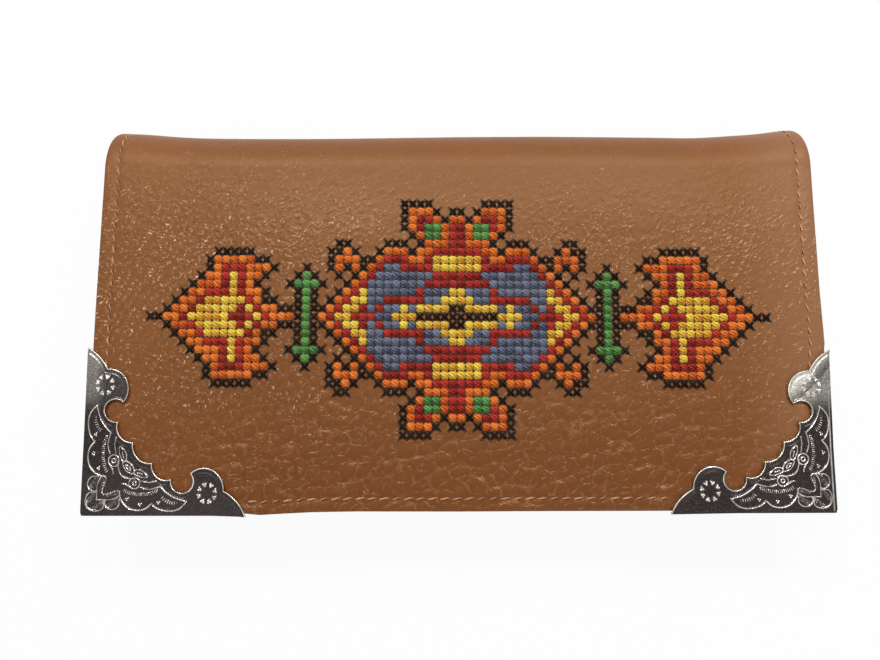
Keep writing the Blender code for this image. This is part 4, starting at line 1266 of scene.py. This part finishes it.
CORNER_REACH = 41.4 * MM
front_stitches = side_seam(1.5 * MM, SPINE_MIDDLE)
front_stitches += cross_seam(EDGE_SEAM_INSET, HALF_WIDTH - CORNER_REACH)
seam_front = seam("seam_front", front_stitches, roll)
bend_front(seam_front)
back_stitches = side_seam(SPINE_MIDDLE, FLAT_LENGTH - 2 * MM)
back_stitches += cross_seam(FLAT_LENGTH - EDGE_SEAM_INSET, BODY_HALF_WIDTH - 6 * MM)
seam_back = seam("seam_back", back_stitches, roll)
bend_back(seam_back)


def strip_seams():
    low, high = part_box("card_strip_bottom")
    places = np.arange(1.5 * MM, high.y - low.y - 1.0 * MM, SEAM_PITCH)
    columns = (low.x + 2 * MM, 0.0, high.x - 2 * MM)
    stitches = [seam_stitch(x, along, math.pi / 2) for x in columns for along in places]
    made = seam("strip_seam", stitches, straight_route(low, high).lay)
    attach(made, "body")
    return made


strip_seams()
print("seam stitches:", len(front_stitches), len(back_stitches))


# %% [markdown]
# ## The cross-stitch chart
#
# The ornament is the same to the left and right and above and below, so the chart holds one
# quarter. Every line is one row, counted from the middle row, and every letter is one stitch
# from the middle outwards: K black, O orange, R dark red, Y yellow, B blue-grey, G green.
# A dot is bare leather.

# %% Chart
CHART = [
    "KKKKKYYYBBRRRYYROKGKOOORYRRRYYYYYROOKK",
    "KYYYYBYBBRBRYYROKKGKKKOORYRYYYYYROOK",
    "YYBBRRRRRBBYYROK.KGK..KKORYYYYYROOK",
    "YBBBRBBBBBBYROK..KGK...KOORYRRROOK",
    "RRRRBBBBBBBROK..KGGGK...KORYROOOK",
    "RRRBBBBBBBROK.K..KGK...KOORYROOK",
    "YYYRRRRBBROKOKOK..K...KOOORRROK",
    "YYYROORRROKKOOOK.......KKOOOOOK",
    "RRROOKOOOK..KOKK.........KKKKK",
    "ROOOK.KKK....KK",
    "ROGGOK",
    "ROGGROK",
    "OKORROK",
    "K.KOOOK",
    "...KKKK",
]
THREAD_OF = {"K": "black", "O": "orange", "R": "red", "Y": "yellow", "B": "blue", "G": "green"}


def stitches_of_chart():
    """Every stitch as (colour, column, row); columns and rows count from the middle."""
    found = []
    for row, line in enumerate(CHART):
        for place, letter in enumerate(line, 1):
            if letter == ".":
                continue
            for side in (-1, 1):
                for turn in ((-1, 1) if row else (1,)):
                    found.append((THREAD_OF[letter], side * (place - 0.5), turn * row))
    return sorted(found)


STITCHES = stitches_of_chart()
for colour in THREADS:
    print(colour, sum(1 for stitch in STITCHES if stitch[0] == colour))


# %% [markdown]
# ## Working the stitches
#
# A cross-stitch is two short threads from corner to corner of a hole's square, the second over
# the first, and each thread is two strands that lie side by side. Black outlines are worked in
# a thinner thread, so the leather shows in their squares. The coloured threads are fuller and
# nearly cover it. Each strand dips into its holes, arches over the middle, and differs a little
# in lie and tone. The worked squares are also marked on the leather, where shade is painted:
# nearly black under the coloured threads and dark dots at the needle holes.

# %% Cross-stitches
# For each thread its width, how far an arm reaches to its holes, and how much it thins there.
BLACK_ARM = (0.67 * MM, 0.43, 0.05)
FULL_ARM = (1.38 * MM, 0.40, 0.50)
# The two arms of a cross: the slope and how far the middle rises.
ARMS = ((1, 0.14 * MM), (-1, 0.42 * MM))
HOLE_DIP = 0.30 * MM
THREAD_LIFT = 0.12 * MM
thread_random = random.Random(11)


def slack(most=1.0):
    return thread_random.uniform(-most, most)


def strand(centre, corner, width, rise, side, taper):
    """One of the two strands of a thread across a square, from hole to opposite hole."""
    t = BAR_POINTS[:, 0] * 2
    span = math.hypot(*corner)
    thick = 0.56 * width * (1.0 - 0.5 * taper * np.abs(t) ** 3)
    lie = side * 0.25 * width * (1.0 - taper * np.abs(t) ** 3)
    lie = lie + slack(0.06) * MM * (1 - t**2) + slack(0.05) * MM * t
    across = BAR_POINTS[:, 1] * thick + lie
    arch = rise * (1 - np.abs(t) ** 2.4) - HOLE_DIP * np.abs(t) ** 6 + THREAD_LIFT
    height = BAR_POINTS[:, 2] * thick * FLATTENED + arch
    return laid_bar(centre, (corner[0] / span, corner[1] / span), span * t, across, height)


def work(colour):
    width, arm_reach, taper = BLACK_ARM if colour == "black" else FULL_ARM
    copies, tones, lengths = [], [], []
    for name, column, row in STITCHES:
        if name != colour:
            continue
        x = column * STITCH_WIDTH + slack(0.05) * MM
        along = PATTERN_Y - row * STITCH_HEIGHT - FLAP_EDGE + slack(0.05) * MM
        tone = thread_random.random()
        for slope, rise in ARMS:
            reach = arm_reach * thread_random.uniform(0.95, 1.0)
            corner = (STITCH_WIDTH * reach, STITCH_HEIGHT * reach * slope)
            for side in (-1, 1):
                thickness = width * thread_random.uniform(0.92, 1.08)
                copies.append(roll(strand((x, along), corner, thickness, rise, side, taper)))
                tones.append(min(1.0, max(0.0, tone + slack(0.35))))
                lengths.append(2 * math.hypot(*corner))
    made = many("threads_" + colour, copies, tones, lengths)
    made.data.materials.append(THREADS[colour])
    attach(made, "flap")
    return made


threads = {colour: work(colour) for colour in THREADS}
for part in frame["record"]["subparts"]:
    if part["node"].startswith("stitch_"):
        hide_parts(part["node"])
print("thread faces:", sum(len(item.data.polygons) for item in threads.values()))


def share_of(flat, squares, margin):
    """1 where the leather lies in one of the squares or within the margin, and 0 elsewhere."""
    column = flat[:, 0] / STITCH_WIDTH
    row = (PATTERN_Y - FLAP_EDGE - flat[:, 1]) / STITCH_HEIGHT + 0.5
    share = np.zeros(len(flat))
    for shift_x in (-margin, margin):
        for shift_row in (-margin, margin):
            square = np.floor([column + shift_x, row + shift_row]).astype(int)
            share = np.maximum(share, [float(place in squares) for place in zip(*square)])
    return share


every_square = {(math.floor(column), row) for _, column, row in STITCHES}
full_squares = {(math.floor(column), row) for colour, column, row in STITCHES if colour != "black"}
store(cover_front, "worked", share_of(cover_flat, every_square, 0.3))
# The squares under coloured threads, where shade is painted on the leather.
store(cover_front, "covered", share_of(cover_flat, full_squares, 0.0))


# %% [markdown]
# ## The shape of a metal corner
#
# Each corner is one stamped sheet, folded round both edges of the flap. Its free edge is a row
# of arcs that meet in points, the same on both legs. Distances are measured from the outer
# corner along the bottom edge and up the side, so a corner and its mirror image share them.

# %% Corner outline
corner_low, corner_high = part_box("corner_left")
RELIEF_ROOM = 0.42 * MM
PLATE_TOP = corner_high.z - RELIEF_ROOM
CORNER_OVERHANG = 0.8 * MM
OUTER_X = HALF_WIDTH + CORNER_OVERHANG
OUTER_Y = FLAP_EDGE - CORNER_OVERHANG


def arc_through(start, end, bulge, steps=10):
    """Points of an arc from start to end that stands out by bulge on its left."""
    (x0, y0), (x1, y1) = start, end
    chord = math.hypot(x1 - x0, y1 - y0)
    t = np.linspace(0.0, 1.0, steps + 1)[1:]
    radius = (chord**2 / 4 + bulge**2) / (2 * abs(bulge))
    half = 2 * math.atan2(2 * abs(bulge), chord)
    swing = (t * 2 - 1) * half
    lift = (np.cos(swing) - math.cos(half)) * radius * math.copysign(1.0, bulge)
    run = np.sin(swing) * radius + chord / 2
    ux, uy = (x1 - x0) / chord, (y1 - y0) / chord
    return [(x0 + ux * r + uy * h, y0 + uy * r - ux * h) for r, h in zip(run, lift)]


EDGE_POINTS = [(41.4, 0.0), (35.6, 6.1), (27.3, 10.3), (22.3, 8.8), (17.4, 12.6)]
EDGE_BULGES = [0.8, 3.1, -4.2, -1.7]
MIDDLE_BULGE = -1.7


def fancy_edge():
    """The free edge in millimetres, from the bottom edge to the side edge."""
    points = EDGE_POINTS + [(b, a) for a, b in reversed(EDGE_POINTS)]
    bulges = EDGE_BULGES + [MIDDLE_BULGE] + EDGE_BULGES[::-1]
    line = [points[0]]
    for start, end, bulge in zip(points, points[1:], bulges):
        line += arc_through(start, end, bulge)
    return np.array(line)


FANCY_EDGE = fancy_edge()
print("fancy edge from", FANCY_EDGE[0], "to", FANCY_EDGE[-1])


# %% [markdown]
# ## Measuring on the plate
#
# A few points make a smooth line. For every point of a plate the distance to such a line says
# how high the metal is pressed there, and a count of crossings says whether the point lies
# inside the outline.

# %% Distances to drawn lines
def curve_through(points, steps=6):
    """A smooth line through points, as a Catmull-Rom spline."""
    points = np.array(points, float)
    padded = np.concatenate([[2 * points[0] - points[1]], points, [2 * points[-1] - points[-2]]])
    line = []
    for a, b, c, d in zip(padded, padded[1:], padded[2:], padded[3:]):
        for t in np.linspace(0, 1, steps, endpoint=False):
            bend = (2 * a - 5 * b + 4 * c - d) * t**2 + (3 * b - a - 3 * c + d) * t**3
            line.append(0.5 * (2 * b + (c - a) * t + bend))
    return np.array(line + [points[-1]])


def distance_to(points, line):
    best = np.full(len(points), 1e9)
    for start, end in zip(line, line[1:]):
        run = end - start
        t = np.clip(((points - start) @ run) / max(run @ run, 1e-12), 0.0, 1.0)
        best = np.minimum(best, np.hypot(*(points - start - t[:, None] * run).T))
    return best


def inside_of(points, loop):
    x, y = points.T
    odd = np.zeros(len(points), bool)
    for (x0, y0), (x1, y1) in zip(loop, np.roll(loop, -1, axis=0)):
        if y0 != y1:
            crossing = (y > min(y0, y1)) & (y <= max(y0, y1))
            odd ^= crossing & (x < (y - y0) * (x1 - x0) / (y1 - y0) + x0)
    return odd


# %% [markdown]
# ## Stamped relief
#
# The stamping shows a long scalloped leaf along each leg, small almond leaves and a ring boss
# near the middle, looped lines round the outer corner, and a ring of small tulips near each
# end. All of it is drawn as lines with a width and a height, and every point of the plate takes
# the highest line over it. A row of short bars hatches the middle of each leaf.

# %% The drawn lines
def circle(centre, radius, steps=20, start=0.0, sweep=360.0):
    angle = np.radians(start + np.linspace(0.0, sweep, steps + 1))
    return np.stack([centre[0] + radius * np.cos(angle), centre[1] + radius * np.sin(angle)], 1)


def almond(root, tip, half_width):
    """A pointed leaf as a closed line."""
    root, tip = np.array(root), np.array(tip)
    run = tip - root
    side = np.array([-run[1], run[0]]) / np.hypot(*run)
    t = np.linspace(0, 1, 12)
    swell = np.sin(np.pi * t) ** 0.8 * half_width
    upper = root + t[:, None] * run + swell[:, None] * side
    lower = root + t[:, None] * run - swell[:, None] * side
    return np.concatenate([upper, lower[::-1]])


LEAF = [
    [(9.6, 5.9), (9.9, 4.4), (10.7, 3.0), (12.0, 1.9), (13.7, 1.4), (15.2, 1.45), (16.5, 1.95),
     (17.7, 3.0)],
    [(17.7, 3.0), (18.8, 2.0), (20.6, 1.35), (22.5, 1.15), (24.3, 1.55), (25.5, 2.4), (26.4, 3.5)],
    [(26.4, 3.5), (25.0, 3.9), (23.6, 4.35), (22.0, 5.25), (20.7, 6.2), (19.8, 7.2)],
    [(19.8, 7.2), (18.9, 6.9), (17.5, 6.55), (16.0, 6.6), (14.9, 7.0)],
]
SMALL_LEAF = [
    (13.0, 10.6), (13.6, 11.15), (14.7, 11.1), (15.8, 10.4), (16.5, 9.5), (15.3, 9.3),
    (14.1, 9.7), (13.2, 10.1), (13.0, 10.6),
]
RIBS = [
    [(15.0, 8.45), (17.0, 8.2), (18.7, 8.5)],
    [(10.2, 7.9), (11.0, 7.75), (11.9, 7.2)],
    [(13.9, 10.45), (15.1, 10.1)],
]
LOOPS = [
    [(4.3, 9.75), (2.9, 9.65), (1.9, 9.0), (1.55, 7.6), (2.1, 6.5), (3.2, 6.0), (4.0, 6.3)],
    [(4.0, 6.3), (4.1, 8.0), (5.0, 9.8)],
    [(3.7, 5.8), (2.1, 5.7), (1.3, 4.6), (1.25, 3.0), (1.9, 1.9), (3.0, 1.5), (3.9, 1.6)],
    [(3.9, 4.05), (5.5, 3.9), (6.3, 4.0)],
]
UPPER_HATCH = [
    (10.5, 6.3), (11.5, 5.8), (12.8, 5.45), (14.6, 5.2), (16.2, 5.35), (17.6, 5.6), (18.6, 6.0),
    (19.4, 5.9),
]
TIP_HATCH = [(20.2, 4.7), (20.8, 4.0), (21.6, 3.5), (22.5, 3.15), (23.4, 3.0), (24.3, 2.95)]
BEAD_ROW = [(5.3, 5.4), (5.3, 6.6), (5.8, 7.9), (6.1, 9.2)]
TRIPLETS = [(11.5, 4.1), (14.8, 2.75), (19.4, 3.2)]
TRIPLET_DOTS = [(-0.28, 0.14), (0.28, 0.2), (0.0, -0.26)]
RING_BOSS = (13.25, 7.95)
LOBE_HEART = (31.5, 5.5)


def places_along(points, pitch):
    """Even places on a line, each with the direction across it."""
    line = curve_through(points, 8)
    run = np.concatenate([[0.0], np.cumsum(np.hypot(*np.diff(line, axis=0).T))])
    for place in np.arange(pitch / 2, run[-1], pitch):
        here = np.array([np.interp(place, run, line[:, axis]) for axis in (0, 1)])
        ahead = np.array([np.interp(place + 0.05, run, line[:, axis]) for axis in (0, 1)])
        away = ahead - here
        yield here, np.array([-away[1], away[0]]) / max(np.hypot(*away), 1e-6)


def dot(x, y):
    return np.array([(x - 0.02, y), (x + 0.02, y)])


def tulip_ring(centre, radius=2.12, count=8):
    """A ring of small three-lobed marks."""
    marks = []
    for step in range(count):
        turn = math.radians(62 + 360 / count * step)
        out = np.array([math.cos(turn), math.sin(turn)])
        side = np.array([-out[1], out[0]])
        heart = np.array(centre) + out * radius
        marks.append((dot(*(heart - out * 0.24)), 0.40, 0.34))
        marks += [(dot(*(heart + out * 0.20 + side * lean)), 0.34, 0.32) for lean in (-0.32, 0.32)]
    return marks


def leg_lines():
    """Lines of one leg as (line, half width, height), in millimetres."""
    lines = [(curve_through(line), 0.21, 0.30) for line in LEAF]
    lines += [(curve_through(SMALL_LEAF), 0.16, 0.26), (circle(RING_BOSS, 1.35), 0.18, 0.28)]
    lines += [(circle(RING_BOSS, 0.50, 10), 0.17, 0.26)]
    lines += [(curve_through(line), 0.17, 0.24) for line in RIBS]
    lines += [(curve_through(line), 0.17, 0.25) for line in LOOPS]
    for hatch, pitch in ((UPPER_HATCH, 0.50), (TIP_HATCH, 0.58)):
        for place, away in places_along(hatch, pitch):
            lines.append((np.array([place - away * 0.26, place + away * 0.26]), 0.15, 0.26))
    lines += [(dot(*place), 0.17, 0.26) for place, _ in places_along(BEAD_ROW, 0.46)]
    lines += [(dot(x + dx, y + dy), 0.24, 0.25) for x, y in TRIPLETS for dx, dy in TRIPLET_DOTS]
    return lines + tulip_ring(LOBE_HEART)


MIDDLE_LINES = [
    (almond((10.2, 13.2), (13.2, 10.2), 0.95), 0.17, 0.28),
    (almond((10.9, 12.3), (12.3, 10.9), 0.30), 0.14, 0.22),
    (curve_through([(9.0, 13.2), (9.15, 11.6), (9.9, 9.9), (11.6, 9.15), (13.2, 9.0)]), 0.17, 0.24),
]
GRAINED_LEAVES = [
    ((2.2, 6.8), (3.8, 9.2), 0.60),
    ((1.9, 3.6), (3.1, 5.2), 0.50),
    ((5.0, 6.0), (5.4, 9.0), 0.30),
]


def stamped(points):
    """Height in millimetres and how far each point is raised, from 0 to 1."""
    lines = leg_lines()
    mirrored = [(line[:, ::-1], width, height) for line, width, height in lines]
    relief, raised = np.zeros((2, len(points)))
    for line, width, height in lines + mirrored + MIDDLE_LINES:
        low, high = line.min(axis=0) - width, line.max(axis=0) + width
        near = np.all((points > low) & (points < high), axis=1)
        if not near.any():
            continue
        part = np.clip(distance_to(points[near], line) / width, 0.0, 1.0)
        dome = np.sqrt(1.0 - part**2)
        relief[near] = np.maximum(relief[near], height * dome)
        raised[near] = np.maximum(raised[near], dome * min(1.0, height / 0.26))
    for root, tip, half_width in GRAINED_LEAVES:
        for flip in (1, -1):
            spine_line = np.array([root[::flip], tip[::flip]])
            near = distance_to(points, spine_line) < half_width
            grain = pebble_field(points[near, 0] / 0.36, points[near, 1] / 0.36, 5)
            relief[near] = np.maximum(relief[near], 0.13 * grain)
            raised[near] = np.maximum(raised[near], 0.80 * smoothstep(grain, 0.3, 0.9))
    return relief, raised


# %% [markdown]
# ## Pressing the plate
#
# A fine grid is cut to the outline, its border is drawn onto the fancy edge, and then the
# relief lifts it. The two straight edges roll over into side walls, and Solidify gives the
# sheet its thickness. A round rim runs along the fancy edge, as on the real stamping, where the
# edge is rolled under so that it doesn't cut the leather.

# %% Plate, rim and walls
PLATE_REACH = 41.6
PLATE_STEP = 0.15
PLATE_SHEET = 0.42
RIM_RADIUS = 0.19
WALL_LEG = (41.2, 1.2, 60)


def plate_grid(name):
    """The face of a corner as flat millimetre points, cut to the outline."""
    places = np.arange(0.0, PLATE_REACH, PLATE_STEP)
    face = laid_grid(name, places, places)
    points = read_points(face)[:, :2]
    keep = inside_of(points + [1e-4, 1e-4], np.concatenate([FANCY_EDGE, [[0.0, 0.0]]]))
    edited(face, (bpy.ops.mesh.select_mode, {"type": "VERT"}), NONE)
    face.data.vertices.foreach_set("select", ~keep)
    edited(face, (bpy.ops.mesh.delete, {"type": "VERT"}))
    return face


def tidy_border(points):
    """Pull points beside the fancy edge onto it."""
    moved = points.copy()
    distance = distance_to(points, FANCY_EDGE)
    for index in np.flatnonzero(distance < PLATE_STEP * 0.75):
        best, place = 1e9, points[index]
        for start, end in zip(FANCY_EDGE, FANCY_EDGE[1:]):
            run = end - start
            t = min(1.0, max(0.0, float((points[index] - start) @ run / (run @ run))))
            foot = start + t * run
            gap = math.hypot(*(points[index] - foot))
            if gap < best:
                best, place = gap, foot
        moved[index] = place
    return moved


def rim_tube(name):
    data = bpy.data.curves.new(name, "CURVE")
    data.dimensions = "3D"
    data.bevel_depth = RIM_RADIUS
    data.bevel_resolution = 3
    data.use_fill_caps = True
    line = data.splines.new("POLY")
    line.points.add(len(FANCY_EDGE) - 1)
    for point, (a, b) in zip(line.points, FANCY_EDGE):
        point.co = (a, b, 0.0, 1.0)
    alone(placed(name, data))
    bpy.ops.object.convert(target="MESH")
    return bpy.context.object


def wall_strip(name, depth):
    """The side walls: a strip from the round edge of the face down the sides of the flap."""
    along = np.linspace(*WALL_LEG)
    leg = np.stack([along, np.zeros(len(along))], 1)
    corner = circle((1.0, 1.0), 1.0, 8, 270.0, -90.0)
    path = np.concatenate([leg, corner, leg[::-1, ::-1]])
    strip = laid_grid(name, np.linspace(0, 1, len(path)), np.linspace(0.0, 1.0, 5))
    grid = read_points(strip)
    index = np.rint(grid[:, 0] * (len(path) - 1)).astype(int)
    from_end = np.minimum(np.arange(len(path)), np.arange(len(path))[::-1]) / 8.0
    drop = depth * np.clip(0.35 + from_end, 0.0, 1.0)[index]
    write_points(strip, np.concatenate([path[index], (-grid[:, 1] * drop)[:, None]], 1))
    return strip


def pressed(points, side):
    """Height of the face in millimetres, and how bright each point is: rubbed bright where it is
    raised, and on the right corner a painted highlight along the rounded outer edge.
    """
    relief, raised = stamped(points)
    from_side = points[:, 0]
    flute = 0.12 * np.exp(-(((distance_to(points, FANCY_EDGE) - 0.75) / 0.35) ** 2))
    height = relief - flute + rounded(points.min(axis=1), 0.5)
    if side > 0:
        # A painted highlight: a thin bright line along the rounded outer edge of the right corner,
        # stored with the raised share.
        edge_highlight = 0.80 - 0.35 * smoothstep(points[:, 1], 16.0, 34.0)
        raised = np.maximum(raised, edge_highlight * np.exp(-(((from_side - 0.75) / 0.26) ** 2)))
    return height, raised


def scuffs_and_highlight(part, side):
    """How far the upper leg is rubbed bright, and on the right a painted highlight on the side of
    its lobe that faces the light.
    """
    a, b, _ = read_points(part).T
    outer = 1.0 - smoothstep(a, 3.0, 6.0)
    rubbed = 0.10 + 0.38 * outer if side < 0 else 0.95 - 0.35 * outer
    rubbed = rubbed * smoothstep(b, 24.0, 31.0)
    if side < 0:
        return rubbed
    # Painted highlight: the side of the right lobe that faces the light is painted brighter.
    toward_light = 0.72 * (a - LOBE_HEART[1]) + 0.69 * (b - LOBE_HEART[0])
    lobe_highlight = 0.46 + 1.05 * smoothstep(toward_light, 0.2, 3.2)
    return np.where(a + b > 37.0, rubbed * lobe_highlight, rubbed)


def leaning(a, b):
    """The upper leg leans in a little and is a little longer, as on the real corners."""
    lean = 0.8 * smoothstep(b, 8, 34) * np.clip(a / 5.0, 0.0, 1.0)
    stretch = 0.4 * smoothstep(b, 8, 20) * (1.0 - smoothstep(b, 34, 41))
    return a - lean, b + stretch


def metal_corner(name, node, side):
    face = plate_grid(name)
    points = tidy_border(read_points(face)[:, :2])
    height, raised = pressed(points, side)
    write_points(face, np.concatenate([points, height[:, None]], 1))
    rim = rim_tube(name + "_rim")
    wall = wall_strip(name + "_wall", (PLATE_TOP - corner_low.z) / MM)
    for part, value in ((face, raised), (rim, 0.86), (wall, 0.10)):
        store(part, "raised", np.broadcast_to(value, len(part.data.vertices)))
        store(part, "scuff_and_highlight", scuffs_and_highlight(part, side))
    for part in (face, wall):
        thickened(part, PLATE_SHEET, -1.0)
    joined(face, rim, wall)
    a, b, h = read_points(face).T
    a, b = leaning(a, b)
    x, y = settled(side * (OUTER_X - a * MM), OUTER_Y + b * MM)
    write_points(face, np.stack([x, y, PLATE_TOP + h * MM], 1))
    edited(face, ALL, FACE_OUTWARD)
    dress(smooth(face, 50.0), SILVER)
    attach(face, "flap")
    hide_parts(node)
    print(name, "faces:", len(face.data.polygons))
    return face


corners = [
    metal_corner("metal_corner_left", "corner_left", -1),
    metal_corner("metal_corner_right", "corner_right", 1),
]


# %% Sizes and finish
bpy.ops.object.select_all(action="DESELECT")
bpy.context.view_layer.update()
triangles = sum(
    len(face.vertices) - 2
    for item in scene.objects
    if item.type == "MESH" and item.name not in frame["nodes"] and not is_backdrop(item)
    for face in item.data.polygons
)
print("triangles added:", triangles)
